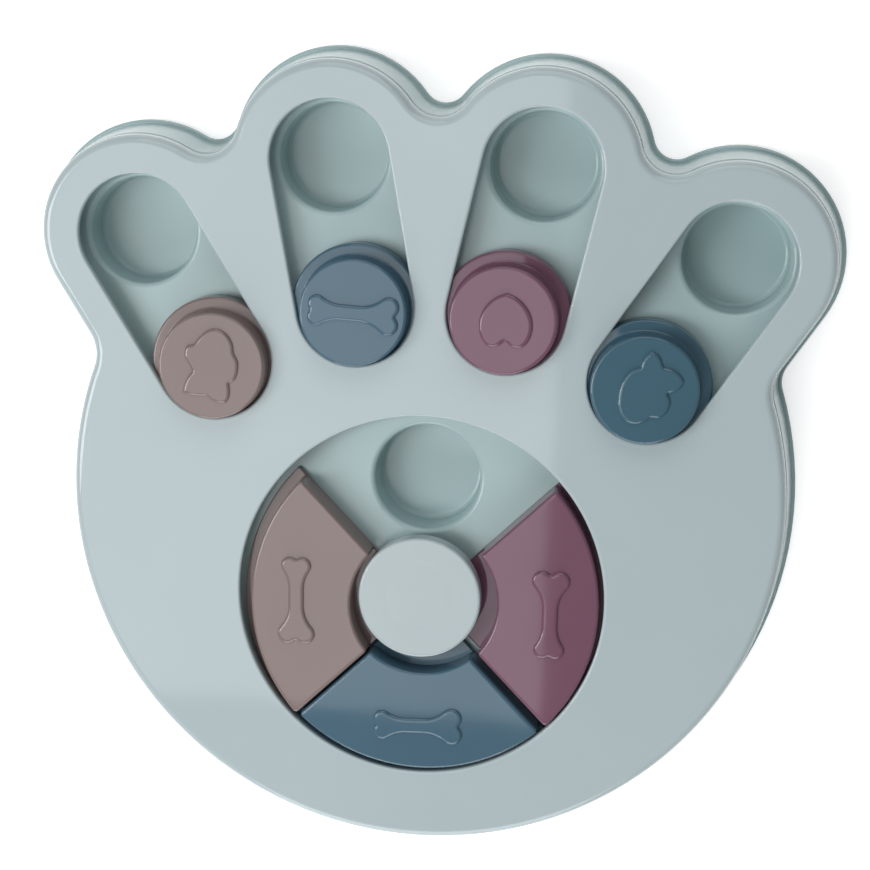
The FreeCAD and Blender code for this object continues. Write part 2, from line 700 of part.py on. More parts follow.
def slider(place, outline, turn):
    """Hollow knob on a wider flange whose skirt reaches down to the tray."""
    knob_foot = SLIDER_KNOB_RADIUS + SLIDER_KNOB_DRAFT
    flange_top = COVER_UNDER - FLANGE_TOP_GAP
    points = [
        (0.0, KNOB_TOP, 0.0),
        (SLIDER_KNOB_RADIUS, KNOB_TOP, SLIDER_EDGE_ROUND),
        (knob_foot, flange_top, SLIDER_FOOT_ROUND),
        (SLIDER_FLANGE_RADIUS, flange_top, SLIDER_EDGE_ROUND),
        (SLIDER_FLANGE_RADIUS, SLIDE_LEVEL, 0.0),
        (SLIDER_FLANGE_RADIUS - SLIDER_WALL, SLIDE_LEVEL, 0.0),
        (SLIDER_FLANGE_RADIUS - SLIDER_WALL, flange_top - SLIDER_WALL, 0.0),
        (knob_foot - SLIDER_WALL, flange_top - SLIDER_WALL, 0.0),
        (SLIDER_KNOB_RADIUS - SLIDER_WALL, KNOB_TOP - SLIDER_WALL, 0.0),
        (0.0, KNOB_TOP - SLIDER_WALL, 0.0),
    ]
    body = turned(points, place)
    return body.fuse(motif(outline, turn, place, KNOB_TOP))


def sliders():
    """The four toe sliders, each at the end of its slot nearest the palm."""
    motifs = {
        "outer_left": (freehand_outline(DOG_HEAD), 0.0),
        "inner_left": (bone_outline(), KNOB_BONE_TURN),
        "inner_right": (freehand_outline(HEART), 0.0),
        "outer_right": (freehand_outline(BERRY), 0.0),
    }
    pieces = {}
    for name, inner, outwards, outer in toes():
        outline, turn = motifs[name]
        pieces["toe_slider_" + name] = slider(inner - outwards * SLIDER_INWARD, outline, turn)
    return pieces


def wheel_lid(quarter, shift):
    """Hollow quarter sector with a lip below the cover's rim and the hub's cap."""
    lip = prism(sector_outline(LIP_INNER_RADIUS, LIP_OUTER_RADIUS, LID_SIDE_GAP), SLIDE_LEVEL, LIP_TOP)
    low = sector_outline(LID_INNER_RADIUS - LID_DRAFT, LID_OUTER_RADIUS + LID_DRAFT, LID_SIDE_GAP)
    high = sector_outline(LID_INNER_RADIUS, LID_OUTER_RADIUS, LID_SIDE_GAP + LID_DRAFT)
    block = tapered(low, SLIDE_LEVEL, high, LID_TOP)
    upright = [edge for edge in block.Edges if edge.BoundBox.ZLength > LID_TOP - LIP_TOP]
    block = block.makeFillet(LID_EDGE_ROUND, upright + edges_at(block, LID_TOP))
    hollow = sector_outline(
        LID_INNER_RADIUS + LID_WALL, LID_OUTER_RADIUS - LID_WALL, LID_SIDE_GAP + LID_DRAFT + LID_WALL)
    lid = block.fuse(lip).cut(prism(hollow, SLIDE_LEVEL - CUT_MARGIN, LID_TOP - LID_WALL))
    lid = lid.fuse(motif(bone_outline(), 90.0, vec(LID_MOTIF_REACH, 0), LID_TOP))
    lid.rotate(vec(0, 0), vec(0, 0, 1), quarter)
    lid.translate(shift)
    return lid


def hub_cap():
    """Disc with a short skirt, a ring that stands on the tray's post and a stem for the screw."""
    skirt_foot = CAP_UNDER - CAP_SKIRT_DEPTH
    points = [
        (0.0, CAP_TOP, 0.0),
        (CAP_RADIUS, CAP_TOP, CAP_EDGE_ROUND),
        (CAP_RADIUS, skirt_foot, 0.0),
        (CAP_RADIUS - CAP_WALL, skirt_foot, 0.0),
        (CAP_RADIUS - CAP_WALL, CAP_UNDER, 0.0),
        (POST_RADIUS, CAP_UNDER, 0.0),
        (POST_RADIUS, POST_TOP, 0.0),
        (POST_RADIUS - CAP_WALL, POST_TOP, 0.0),
        (POST_RADIUS - CAP_WALL, CAP_UNDER, 0.0),
        (BOSS_RADIUS, CAP_UNDER, 0.0),
        (BOSS_RADIUS, POST_TOP, 0.0),
        (0.0, POST_TOP, 0.0),
    ]
    cap = turned(points, vec(0, 0))
    depth = CAP_UNDER - POST_TOP
    return cap.cut(rod(SCREW_SHANK_RADIUS + SCREW_SHANK_GAP, POST_TOP - CUT_MARGIN, POST_TOP + depth, vec(0, 0)))


def screw(place, bearing, length):
    """Pan-head screw seen from below: its head bears upwards at the height bearing."""
    points = [
        (0.0, bearing - SCREW_HEAD_HEIGHT, 0.0),
        (SCREW_HEAD_RADIUS, bearing - SCREW_HEAD_HEIGHT, SCREW_HEAD_ROUND),
        (SCREW_HEAD_RADIUS, bearing, 0.0),
        (SCREW_SHANK_RADIUS, bearing, 0.0),
        (SCREW_SHANK_RADIUS, bearing + length - SCREW_POINT, 0.0),
        (SCREW_SHANK_RADIUS / 2.0, bearing + length, 0.0),
        (0.0, bearing + length, 0.0),
    ]
    body = turned(points, place)
    low = bearing - SCREW_HEAD_HEIGHT - CUT_MARGIN
    height = CUT_MARGIN + CROSS_DEPTH
    half_length = CROSS_LENGTH / 2.0
    half_width = CROSS_WIDTH / 2.0
    first = Part.makeBox(CROSS_LENGTH, CROSS_WIDTH, height, vec(place.x - half_length, place.y - half_width, low))
    second = Part.makeBox(CROSS_WIDTH, CROSS_LENGTH, height, vec(place.x - half_width, place.y - half_length, low))
    return body.cut([first, second])


def screws():
    """The cover's screws and the one that holds the hub's cap."""
    pieces = {}
    for name, x, y in SCREWS:
        pieces[name] = screw(vec(x, y), TRAY_UNDER, TRAY_WALL + SCREW_BITE)
    plate = POST_TOP - POST_WALL
    pieces["hub_screw"] = screw(vec(0, 0), plate, CAP_UNDER - plate - SCREW_SHANK_GAP)
    return pieces


def foot(place):
    """Rubber disc in its shallow pocket."""
    points = [
        (0.0, 0.0, 0.0),
        (FOOT_RADIUS, 0.0, FOOT_EDGE_ROUND),
        (FOOT_RADIUS, FOOT_PROUD + FOOT_POCKET_DEPTH, 0.0),
        (0.0, FOOT_PROUD + FOOT_POCKET_DEPTH, 0.0),
    ]
    return turned(points, place)


def make_pieces():
    """Every piece by the name of its node."""
    pieces = {"top_cover": top_cover(), "base_tray": base_tray(), "hub_cap": hub_cap()}
    pieces.update(sliders())
    for name, quarter, shift_x, shift_y in LIDS:
        pieces[name] = wheel_lid(quarter, vec(shift_x, shift_y))
    pieces.update(screws())
    for name, place in foot_places():
        pieces[name] = foot(place)
    return pieces


def main():
    os.makedirs("parts", exist_ok=True)
    middle = plan_middle()
    print("wheel axis in the part's frame, y =", round(-middle.y, 3))
    for name, inner, outwards, outer in toes():
        print("slide", name, round(outwards.x, 6), round(outwards.y, 6), "run", round(SLIDER_RUN, 3))
    for name, shape in make_pieces().items():
        shape = shape.removeSplitter()
        shape.translate(vec(-middle.x, -middle.y))
        shape.exportStep("parts/" + name + ".step")
        box = shape.BoundBox
        print(name, "solids", len(shape.Solids), "valid", shape.isValid(), "volume", round(shape.Volume, 1),
              "z", round(box.ZMin, 2), round(box.ZMax, 2))


main()
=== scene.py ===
import logging
import math
from dataclasses import dataclass, field
from enum import Enum
from typing import Any, Iterable, Sequence

import bmesh
import bpy
import numpy as np
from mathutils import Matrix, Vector
from mathutils.geometry import delaunay_2d_cdt


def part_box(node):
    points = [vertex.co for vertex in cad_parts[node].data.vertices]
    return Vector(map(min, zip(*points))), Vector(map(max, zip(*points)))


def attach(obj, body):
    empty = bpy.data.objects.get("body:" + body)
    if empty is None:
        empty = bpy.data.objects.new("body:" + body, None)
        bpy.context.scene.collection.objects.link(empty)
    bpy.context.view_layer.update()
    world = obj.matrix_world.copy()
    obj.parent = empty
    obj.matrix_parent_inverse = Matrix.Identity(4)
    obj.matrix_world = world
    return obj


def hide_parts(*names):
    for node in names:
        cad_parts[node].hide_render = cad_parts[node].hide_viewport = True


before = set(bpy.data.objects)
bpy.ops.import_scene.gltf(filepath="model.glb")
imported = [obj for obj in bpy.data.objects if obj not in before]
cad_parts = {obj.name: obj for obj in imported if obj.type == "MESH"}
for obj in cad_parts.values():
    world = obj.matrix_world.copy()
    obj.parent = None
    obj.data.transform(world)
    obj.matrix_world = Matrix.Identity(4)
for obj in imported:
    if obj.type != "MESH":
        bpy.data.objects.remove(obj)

# Looks of a paw-shaped puzzle feeder for a dog.
# Plans are in millimetres from the wheel's axis, with +Y towards the toes.
# Heights are in millimetres above the surface that the feet stand on.

MM = 0.001
SMOOTH_BELOW = math.radians(38.0)
WELD_DISTANCE = 1e-6
SAME_POINT = 1e-7
LEVEL_STRIP = 0.35
PATH_RADIUS = 1.0 * MM
FEWEST_ARC_STEPS = 8
QUARTER_TURN = math.pi / 2.0

log = logging.getLogger("feeder")

Plan = tuple[float, float]
Point = tuple[float, float, float]


def linear(code: str) -> tuple[float, float, float, float]:
    """Turns an sRGB hex colour into the linear colour that a shader takes.

    Args:
        code: Colour as six hex digits.

    Returns:
        Linear red, green, blue and an alpha of 1.
    """
    shares = [int(code[start:start + 2], 16) / 255.0 for start in (0, 2, 4)]
    red, green, blue = (share / 12.92 if share <= 0.04045 else ((share + 0.055) / 1.055) ** 2.4
                        for share in shares)
    return red, green, blue, 1.0


def add_node(tree: bpy.types.NodeTree, kind: str, settings: dict[str, Any] | None = None,
             inputs: dict[Any, Any] | None = None) -> bpy.types.Node:
    """Adds a node with its settings and links.

    Args:
        tree: Tree that gets the node.
        kind: The node's type name.
        settings: Values of the node's own properties.
        inputs: For each input, by name or number, a value or the socket that feeds it.

    Returns:
        The new node.
    """
    node = tree.nodes.new(kind)
    for name, value in (settings or {}).items():
        setattr(node, name, value)
    for key, value in (inputs or {}).items():
        if isinstance(value, bpy.types.NodeSocket):
            tree.links.new(value, node.inputs[key])
        else:
            node.inputs[key].default_value = value
    return node


def new_material(name: str) -> tuple[bpy.types.Material, bpy.types.NodeTree]:
    """Makes an empty node material.

    Args:
        name: The material's name.

    Returns:
        The material and its node tree.
    """
    material = bpy.data.materials.new(name)
    material.use_nodes = True
    material.node_tree.nodes.clear()
    return material, material.node_tree


def noise(tree: bpy.types.NodeTree, size_mm: float, detail: float = 2.0) -> bpy.types.NodeSocket:
    """Adds a noise on object coordinates whose blotches have a real size.

    Args:
        tree: The material's tree.
        size_mm: Size of a blotch.
        detail: Octaves of finer noise on it.

    Returns:
        The noise's value socket.
    """
    place = add_node(tree, "ShaderNodeTexCoord")
    made = add_node(tree, "ShaderNodeTexNoise", None, {
        "Vector": place.outputs["Object"], "Scale": 1.0 / (size_mm * MM), "Detail": detail})
    return made.outputs["Fac"]


def spread(tree: bpy.types.NodeTree, value: bpy.types.NodeSocket, low: float = 0.0,
           high: float = 1.0, from_low: float = 0.3,
           from_high: float = 0.7) -> bpy.types.NodeSocket:
    """Maps a noise's usual range onto another range.

    Args:
        tree: The material's tree.
        value: Socket of the noise.
        low: Result at the low end.
        high: Result at the high end.
        from_low: Noise value of the low end.
        from_high: Noise value of the high end.

    Returns:
        Socket of the mapped value.
    """
    node = add_node(tree, "ShaderNodeMapRange", None, {
        "Value": value, "From Min": from_low, "From Max": from_high,
        "To Min": low, "To Max": high})
    return node.outputs["Result"]


@dataclass(frozen=True)
class MouldedPlastic:
    """Injection-moulded ABS from a polished tool.

    The eye gets a semi-gloss with soft lamp images that waver a little, because the walls
    shrink unevenly as they cool, and a colour that clouds by a percent or two.
    """

    name: str
    colour: str
    cloud_colour: str
    roughness: float = 0.05
    roughness_play: float = 0.015
    cloud_mm: float = 55.0
    ripple_mm: float = 26.0
    ripple_depth_mm: float = 0.035
    grain_mm: float = 0.6
    grain_depth_mm: float = 0.0016
    ior: float = 1.5

    def material(self) -> bpy.types.Material:
        """Builds the material.

        Returns:
            The finished material.
        """
        material, tree = new_material(self.name)
        tint = add_node(tree, "ShaderNodeMix", {"data_type": "RGBA"}, {
            0: spread(tree, noise(tree, self.cloud_mm)),
            6: linear(self.colour), 7: linear(self.cloud_colour)})
        gloss = spread(tree, noise(tree, self.ripple_mm, detail=3.0),
                       low=self.roughness - self.roughness_play,
                       high=self.roughness + self.roughness_play)
        ripple = add_node(tree, "ShaderNodeBump", None, {
            "Height": noise(tree, self.ripple_mm, detail=0.0),
            "Distance": self.ripple_depth_mm * MM})
        # Drawn coarser than the tool's real polish, which is too fine to show
        grain = add_node(tree, "ShaderNodeBump", None, {
            "Height": noise(tree, self.grain_mm), "Distance": self.grain_depth_mm * MM,
            "Normal": ripple.outputs["Normal"]})
        shader = add_node(tree, "ShaderNodeBsdfPrincipled", None, {
            "Base Color": tint.outputs[2], "Roughness": gloss, "IOR": self.ior,
            "Normal": grain.outputs["Normal"]})
        add_node(tree, "ShaderNodeOutputMaterial", None, {"Surface": shader.outputs["BSDF"]})
        return material


@dataclass(frozen=True)
class MouldedRubber:
    """Moulded thermoplastic rubber.

    The eye gets a matt, faintly speckled surface with a fine leathery grain and no clear lamp
    image.
    """

    name: str
    colour: str
    speckle_colour: str
    roughness: float = 0.72
    roughness_play: float = 0.05
    speckle_start: float = 0.45
    speckle_end: float = 0.6
    speckle_mm: float = 1.3
    grain_mm: float = 0.5
    grain_depth_mm: float = 0.02
    ior: float = 1.5

    def material(self) -> bpy.types.Material:
        """Builds the material.

        Returns:
            The finished material.
        """
        material, tree = new_material(self.name)
        tint = add_node(tree, "ShaderNodeMix", {"data_type": "RGBA"}, {
            0: spread(tree, noise(tree, self.speckle_mm, detail=4.0),
                      from_low=self.speckle_start, from_high=self.speckle_end),
            6: linear(self.colour), 7: linear(self.speckle_colour)})
        grain = add_node(tree, "ShaderNodeBump", None, {
            "Height": noise(tree, self.grain_mm, detail=3.0),
            "Distance": self.grain_depth_mm * MM})
        gloss = spread(tree, noise(tree, self.speckle_mm),
                       low=self.roughness - self.roughness_play,
                       high=self.roughness + self.roughness_play)
        shader = add_node(tree, "ShaderNodeBsdfPrincipled", None, {
            "Base Color": tint.outputs[2], "IOR": self.ior, "Normal": grain.outputs["Normal"],
            "Roughness": gloss})
        add_node(tree, "ShaderNodeOutputMaterial", None, {"Surface": shader.outputs["BSDF"]})
        return material


@dataclass(frozen=True)
class ZincPlatedSteel:
    """Cold-headed steel with bright zinc plating.

    The eye gets a cool grey metal whose plating crystals break up its highlights.
    """

    name: str
    colour: str
    dull_colour: str
    brightest: float = 0.25
    dullest: float = 0.43
    crystal_mm: float = 0.7
    crystal_depth_mm: float = 0.01

    def material(self) -> bpy.types.Material:
        """Builds the material.

        Returns:
            The finished material.
        """
        material, tree = new_material(self.name)
        tint = add_node(tree, "ShaderNodeMix", {"data_type": "RGBA"}, {
            0: spread(tree, noise(tree, self.crystal_mm, detail=3.0)),
            6: linear(self.colour), 7: linear(self.dull_colour)})
        crystals = add_node(tree, "ShaderNodeBump", None, {
            "Height": noise(tree, self.crystal_mm, detail=1.0),
            "Distance": self.crystal_depth_mm * MM})
        gloss = spread(tree, noise(tree, self.crystal_mm), self.brightest, self.dullest)
        shader = add_node(tree, "ShaderNodeBsdfPrincipled", None, {
            "Base Color": tint.outputs[2], "Metallic": 1.0, "Normal": crystals.outputs["Normal"],
            "Roughness": gloss})
        add_node(tree, "ShaderNodeOutputMaterial", None, {"Surface": shader.outputs["BSDF"]})
        return material


class Finish(Enum):
    """Every finish on the feeder. Each value is the recipe of its material."""

    COVER = MouldedPlastic("abs_moulded_mint_cover", "B5C3C6", "B1C0C3")
    TRAY = MouldedPlastic("abs_moulded_mint_tray", "ACC2C3", "A8BFC0", roughness=0.2)
    CAP = MouldedPlastic("abs_moulded_mint_cap", "B3BFC2", "AFBCBF")
    TAUPE = MouldedPlastic("abs_moulded_taupe", "867673", "82726F")
    SLATE = MouldedPlastic("abs_moulded_slate_blue", "4C6A7B", "486677")
    PLUM = MouldedPlastic("abs_moulded_plum", "795466", "755062")
    DEEP_SLATE = MouldedPlastic("abs_moulded_deep_slate_blue", "446575", "406171")
    RUBBER = MouldedRubber("rubber_moulded_pale_grey", "BFC6C5", "AEB6B5")
    ZINC = ZincPlatedSteel("steel_zinc_plated", "B9BDC2", "93989E")


class Palette:
    """The materials, each made once, when a piece first asks for it."""

    def __init__(self) -> None:
        """Starts with no material made."""
        self.made: dict[Finish, bpy.types.Material] = {}

    def get(self, finish: Finish) -> bpy.types.Material:
        """Gives a finish's material.

        Args:
            finish: Which finish.

        Returns:
            Its material.
        """
        if finish not in self.made:
            self.made[finish] = finish.value.material()
        return self.made[finish]


@dataclass(frozen=True)
class Arc:
    """Arc of an outline. It keeps its centre and angles when the outline is moved outwards."""

    centre: Plan
    radius: float
    start: float
    sweep: float
    grows: int
    steps: int

    def points(self, offset: float) -> list[Plan]:
        """Gives points along the arc.

        Args:
            offset: How far the outline is moved outwards.

        Returns:
            Points from the arc's start to its end.
        """
        reach = self.radius + self.grows * offset
        turns = [self.start + self.sweep * step / self.steps for step in range(self.steps + 1)]
        return [(self.centre[0] + reach * math.cos(turn), self.centre[1] + reach * math.sin(turn))
                for turn in turns]


def heading(start: Plan, end: Plan) -> float:
    """Gives the angle of the direction from start to end, in radians."""
    return math.atan2(end[1] - start[1], end[0] - start[0])


def arc_between(centre: Plan, radius: float, start: float, end: float, turn: int, grows: int,
                step_mm: float = 1.6) -> Arc:
    """Makes an arc from its end angles.

    Args:
        centre: The arc's centre.
        radius: Its radius.
        start: Angle of its start.
        end: Angle of its end.
        turn: 1 for anticlockwise, -1 for clockwise.
        grows: 1 if the radius grows when the outline moves outwards, otherwise -1.
        step_mm: Length of one step along it.

    Returns:
        The arc.
    """
    sweep = (end - start) * turn % math.tau * turn
    steps = max(FEWEST_ARC_STEPS, round(abs(sweep) * radius / step_mm))
    return Arc(centre, radius, start, sweep, grows, steps)


def circle(radius: float, steps: int, centre: Plan = (0.0, 0.0)) -> list[Plan]:
    """Gives points round a circle.

    Args:
        radius: The circle's radius.
        steps: How many points.
        centre: The circle's centre.

    Returns:
        The points, anticlockwise.
    """
    turns = [math.tau * step / steps for step in range(steps)]
    return [(centre[0] + radius * math.cos(turn), centre[1] + radius * math.sin(turn))
            for turn in turns]


class Toe(Enum):
    """The four toes, each with its side, its slot's inner end and how far it leans outwards."""

    OUTER_LEFT = (-1, 76.9, 81.9, 32.8)
    INNER_LEFT = (-1, 26.6, 103.6, 11.7)
    INNER_RIGHT = (1, 26.6, 103.6, 11.7)
    OUTER_RIGHT = (1, 76.9, 81.9, 32.8)

    @property
    def outwards(self) -> Plan:
        """Direction of the slot, away from the palm."""
        side, _, _, lean = self.value
        turn = math.radians(lean)
        return side * math.sin(turn), math.cos(turn)

    def along(self, reach: float) -> Plan:
        """Gives the place on the slot's middle line at a distance from its inner end.

        Args:
            reach: The distance.

        Returns:
            The place.
        """
        side, x, y, _ = self.value
        return side * x + self.outwards[0] * reach, y + self.outwards[1] * reach

    @property
    def label(self) -> str:
        """The toe's name in node and body names."""
        return self.name.lower()


@dataclass(frozen=True)
class PawPlan:
    """Outline of the paw and the openings in its cover."""

    palm_radius: float = 127.2
    palm_centre_y: float = 36.0
    toe_radius: float = 34.0
    valley_radius: float = 12.5
    shoulder_radius: float = 14.0
    slot_radius: float = 21.0
    slot_travel: float = 52.2
    wheel_hole_radius: float = 65.9
    wheel_hole_steps: int = 256
    palm_step: float = 2.2
    valley_step: float = 0.8
    slot_step: float = 1.1

    def arcs(self) -> list[Arc]:
        """Gives the outline's arcs.

        Returns:
            The arcs, anticlockwise from the right shoulder. Straight runs join them.
        """
        palm = (0.0, self.palm_centre_y)
        side = Toe.OUTER_RIGHT.outwards
        sideways = (side[1], -side[0])
        tip = Toe.OUTER_RIGHT.along(self.slot_travel)
        reach = self.toe_radius + self.shoulder_radius
        away = (tip[0] + sideways[0] * reach - palm[0], tip[1] + sideways[1] * reach - palm[1])
        along = away[0] * side[0] + away[1] * side[1]
        apart = away[0] ** 2 + away[1] ** 2 - (self.palm_radius + self.shoulder_radius) ** 2
        along -= math.sqrt(along ** 2 - apart)
        shoulder = (palm[0] + away[0] - side[0] * along, palm[1] + away[1] - side[1] * along)
        far_shoulder = (-shoulder[0], shoulder[1])
        across = math.atan2(sideways[1], sideways[0])
        tips = [toe.along(self.slot_travel) for toe in reversed(Toe)]

        found = [arc_between(shoulder, self.shoulder_radius, heading(shoulder, palm),
                             across + math.pi, -1, -1)]
        start = across
        for here, following in zip(tips, tips[1:]):
            valley = self.valley(here, following)
            leave = heading(here, valley)
            found.append(arc_between(here, self.toe_radius, start, leave, 1, 1))
            found.append(arc_between(valley, self.valley_radius, heading(valley, here),
                                     heading(valley, following), -1, -1, self.valley_step))
            start = heading(following, valley)
        found.append(arc_between(tips[-1], self.toe_radius, start, math.pi - across, 1, 1))
        found.append(arc_between(far_shoulder, self.shoulder_radius, -across,
                                 heading(far_shoulder, palm), -1, -1))
        found.append(arc_between(palm, self.palm_radius, heading(palm, far_shoulder),
                                 heading(palm, shoulder), 1, 1, self.palm_step))
        return found

    def valley(self, here: Plan, following: Plan) -> Plan:
        """Gives the centre of the hollow between two toe tips.

        Args:
            here: The tip to the right.
            following: The tip to its left.

        Returns:
            The centre, outside the paw.
        """
        step = (following[0] - here[0], following[1] - here[1])
        apart = math.hypot(*step)
        rise = math.sqrt((self.toe_radius + self.valley_radius) ** 2 - (apart / 2.0) ** 2)
        return ((here[0] + following[0]) / 2.0 + step[1] / apart * rise,
                (here[1] + following[1]) / 2.0 - step[0] / apart * rise)

    def outline(self, offset: float) -> list[Plan]:
        """Gives the paw's outline.

        Args:
            offset: How far it is moved outwards from the cover's edge.

        Returns:
            Points of the closed outline, anticlockwise.
        """
        return [point for arc in self.arcs() for point in arc.points(offset)]

    def slot(self, toe: Toe, offset: float) -> list[Plan]:
        """Gives a toe slot's outline.

        Args:
            toe: Whose slot.
            offset: How far it is widened.

        Returns:
            Points of the closed outline, anticlockwise.
        """
        outwards = toe.outwards
        turn = math.atan2(outwards[1], outwards[0])
        right, left = turn - QUARTER_TURN, turn + QUARTER_TURN
        far = arc_between(toe.along(self.slot_travel), self.slot_radius, right, left, 1, 1,
                          self.slot_step)
        near = arc_between(toe.along(0.0), self.slot_radius, left, right, 1, 1, self.slot_step)
        return far.points(offset) + near.points(offset)

    def wheel_hole(self, offset: float) -> list[Plan]:
        """Gives the wheel hole's outline, widened by offset."""
        return circle(self.wheel_hole_radius + offset, self.wheel_hole_steps)


def inside(points: np.ndarray, loops: Iterable[np.ndarray]) -> np.ndarray:
    """Tells which points lie inside closed loops, by counting the edges to their right.

    Args:
        points: The points, one a row.
        loops: The loops. A loop inside another is a hole.

    Returns:
        True for each point inside.
    """
    odd = np.zeros(len(points), bool)
    x, y = points[:, :1], points[:, 1:2]
    for loop in loops:
        start, end = loop, np.roll(loop, -1, axis=0)
        spans = (start[:, 1] > y) != (end[:, 1] > y)
        rise = np.where(end[:, 1] == start[:, 1], 1.0, end[:, 1] - start[:, 1])
        crossing = start[:, 0] + (y - start[:, 1]) * (end[:, 0] - start[:, 0]) / rise
        odd ^= (np.sum(spans & (x < crossing), axis=1) % 2).astype(bool)
    return odd


def depth_in(points: np.ndarray, loop: np.ndarray) -> np.ndarray:
    """Gives how far each point is inside a closed loop.

    Args:
        points: The points, one a row.
        loop: The loop's points.

    Returns:
        Distances to the loop, negative outside it.
    """
    step = np.roll(loop, -1, axis=0) - loop
    length = np.maximum(np.sum(step ** 2, axis=1), 1e-12)
    away = points[:, None, :] - loop[None, :, :]
    share = np.clip(np.sum(away * step, axis=2) / length, 0.0, 1.0)
    nearest = np.min(np.linalg.norm(away - share[:, :, None] * step, axis=2), axis=1)
    return np.where(inside(points, [loop]), nearest, -nearest)


def grid(low: Plan, high: Plan, spacing: float) -> np.ndarray:
    """Gives the points of a triangular grid.

    Args:
        low: The grid's lowest corner.
        high: Its highest corner.
        spacing: Distance between neighbours.

    Returns:
        The points, one a row.
    """
    rows = []
    row_height = spacing * math.sqrt(3.0) / 2.0
    for index, y in enumerate(np.arange(low[1], high[1], row_height)):
        shift = spacing / 2.0 * (index % 2)
        xs = np.arange(low[0] + shift, high[0], spacing)
        rows.append(np.column_stack([xs, np.full(len(xs), y)]))
    return np.vstack(rows)


class Shell:
    """Collects the rings and caps of closed shells, in millimetres from the wheel's axis."""

    def __init__(self) -> None:
        """Starts empty."""
        self.points: list[Point] = []
        self.faces: list[Sequence[int]] = []

    def ring(self, outline: Sequence[Plan], height: float) -> list[int]:
        """Adds a level ring of points.

        Args:
            outline: The ring's plan.
            height: Its height.

        Returns:
            Numbers of its points.
        """
        first = len(self.points)
        self.points.extend((x, y, height) for x, y in outline)
        return list(range(first, len(self.points)))

    def skin(self, rings: Sequence[list[int]]) -> None:
        """Joins each ring to the next with a band of faces.

        Args:
            rings: Rings with the same number of points.
        """
        for lower, upper in zip(rings, rings[1:]):
            count = len(lower)
            for index in range(count):
                following = (index + 1) % count
                self.faces.append((lower[index], lower[following], upper[following], upper[index]))

    def cap(self, rims: Sequence[list[int]], extra: np.ndarray | None = None) -> None:
        """Closes the space between rims with triangles.

        Args:
            rims: The outer rim first, then the rims of holes.
            extra: More points of the surface, one x, y, z a row.
        """
        numbers = [number for rim in rims for number in rim]
        flat = [Vector(self.points[number][:2]) for number in numbers]
        edges = []
        start = 0
        for rim in rims:
            count = len(rim)
            edges.extend((start + index, start + (index + 1) % count) for index in range(count))
            start += count
        if extra is not None:
            first = len(self.points)
            self.points.extend(tuple(row) for row in extra.tolist())
            numbers.extend(range(first, len(self.points)))
            flat.extend(Vector(row[:2]) for row in extra.tolist())
        found, _, triangles, sources, _, _ = delaunay_2d_cdt(flat, edges, [], 0, SAME_POINT)
        placed = np.array([tuple(point) for point in found])
        loops = [np.array([self.points[number][:2] for number in rim]) for rim in rims]
        corners = np.array(triangles)
        kept = corners[inside(placed[corners].mean(axis=1), loops)]
        for triangle in kept.tolist():
            self.faces.append([numbers[sources[corner][0]] for corner in triangle])

    def tube(self, outer: float, inner: float, low: float, high: float, centre: Plan,
             steps: int = 48) -> None:
        """Adds an upright tube.

        Args:
            outer: Outer radius.
            inner: Inner radius.
            low: Height of its lower end.
            high: Height of its upper end.
            centre: Place of its axis.
            steps: Faces round it.
        """
        wide, narrow = circle(outer, steps, centre), circle(inner, steps, centre)
        rings = [self.ring(narrow, low), self.ring(wide, low),
                 self.ring(wide, high), self.ring(narrow, high)]
        self.skin(rings + rings[:1])

    def build(self, name: str, axis: Vector) -> bpy.types.Object:
        """Makes the object.

        Args:
            name: The object's name.
            axis: The wheel's axis in the row frame, in metres.

        Returns:
            The object at the origin, with its place in its mesh.
        """
        mesh = bpy.data.meshes.new(name)
        placed = [(x * MM + axis.x, y * MM + axis.y, z * MM) for x, y, z in self.points]
        mesh.from_pydata(placed, [], self.faces)
        close_mesh(mesh, drop_slivers=True)
        return placed_mesh(name, mesh)


def close_mesh(mesh: bpy.types.Mesh, drop_slivers: bool = False) -> None:
    """Merges a mesh's doubles and turns its faces outwards.

    Args:
        mesh: The mesh.
        drop_slivers: Whether faces without an area are taken out.
    """
    work = bmesh.new()
    work.from_mesh(mesh)
    bmesh.ops.remove_doubles(work, verts=work.verts, dist=WELD_DISTANCE)
    if drop_slivers:
        bmesh.ops.dissolve_degenerate(work, edges=work.edges, dist=WELD_DISTANCE)
    bmesh.ops.recalc_face_normals(work, faces=work.faces)
    work.to_mesh(mesh)
    work.free()


def placed_mesh(name: str, mesh: bpy.types.Mesh) -> bpy.types.Object:
    """Puts a finished mesh in the scene, smooth except at its edges.

    Args:
        name: The object's name.
        mesh: Its mesh.

    Returns:
        The object.
    """
    mesh.shade_smooth()
    mesh.set_sharp_from_angle(angle=SMOOTH_BELOW)
    made = bpy.data.objects.new(name, mesh)
    bpy.context.scene.collection.objects.link(made)
    return made


def quarter_round(radius: float, steps: int = 8) -> list[Plan]:
    """Gives a quarter circle as pairs of inset and rise.

    Args:
        radius: The quarter circle's radius.
        steps: Steps along it.

    Returns:
        Pairs from the upright side, where the rise is 0, to the flat top.
    """
    turns = [QUARTER_TURN * step / steps for step in range(steps + 1)]
    return [(radius * (1.0 - math.cos(turn)), radius * math.sin(turn)) for turn in turns]


def rounded_top(flare: float, depth: float, radius: float, steps: int = 10) -> list[Plan]:
    """Gives the rounded edge between a flared side and the flat top that it would meet at no inset.

    Args:
        flare: How far the side leans out over its depth.
        depth: Height of the side.
        radius: Radius of the edge.
        steps: Steps along the edge.

    Returns:
        Pairs of inset and depth below the top, from the side to the top.
    """
    lean = math.atan2(flare, depth)
    centre = radius * (1.0 - math.sin(lean)) / math.cos(lean)
    turns = [lean + (QUARTER_TURN - lean) * step / steps for step in range(steps + 1)]
    return [(centre - radius * math.cos(turn), radius * (1.0 - math.sin(turn))) for turn in turns]


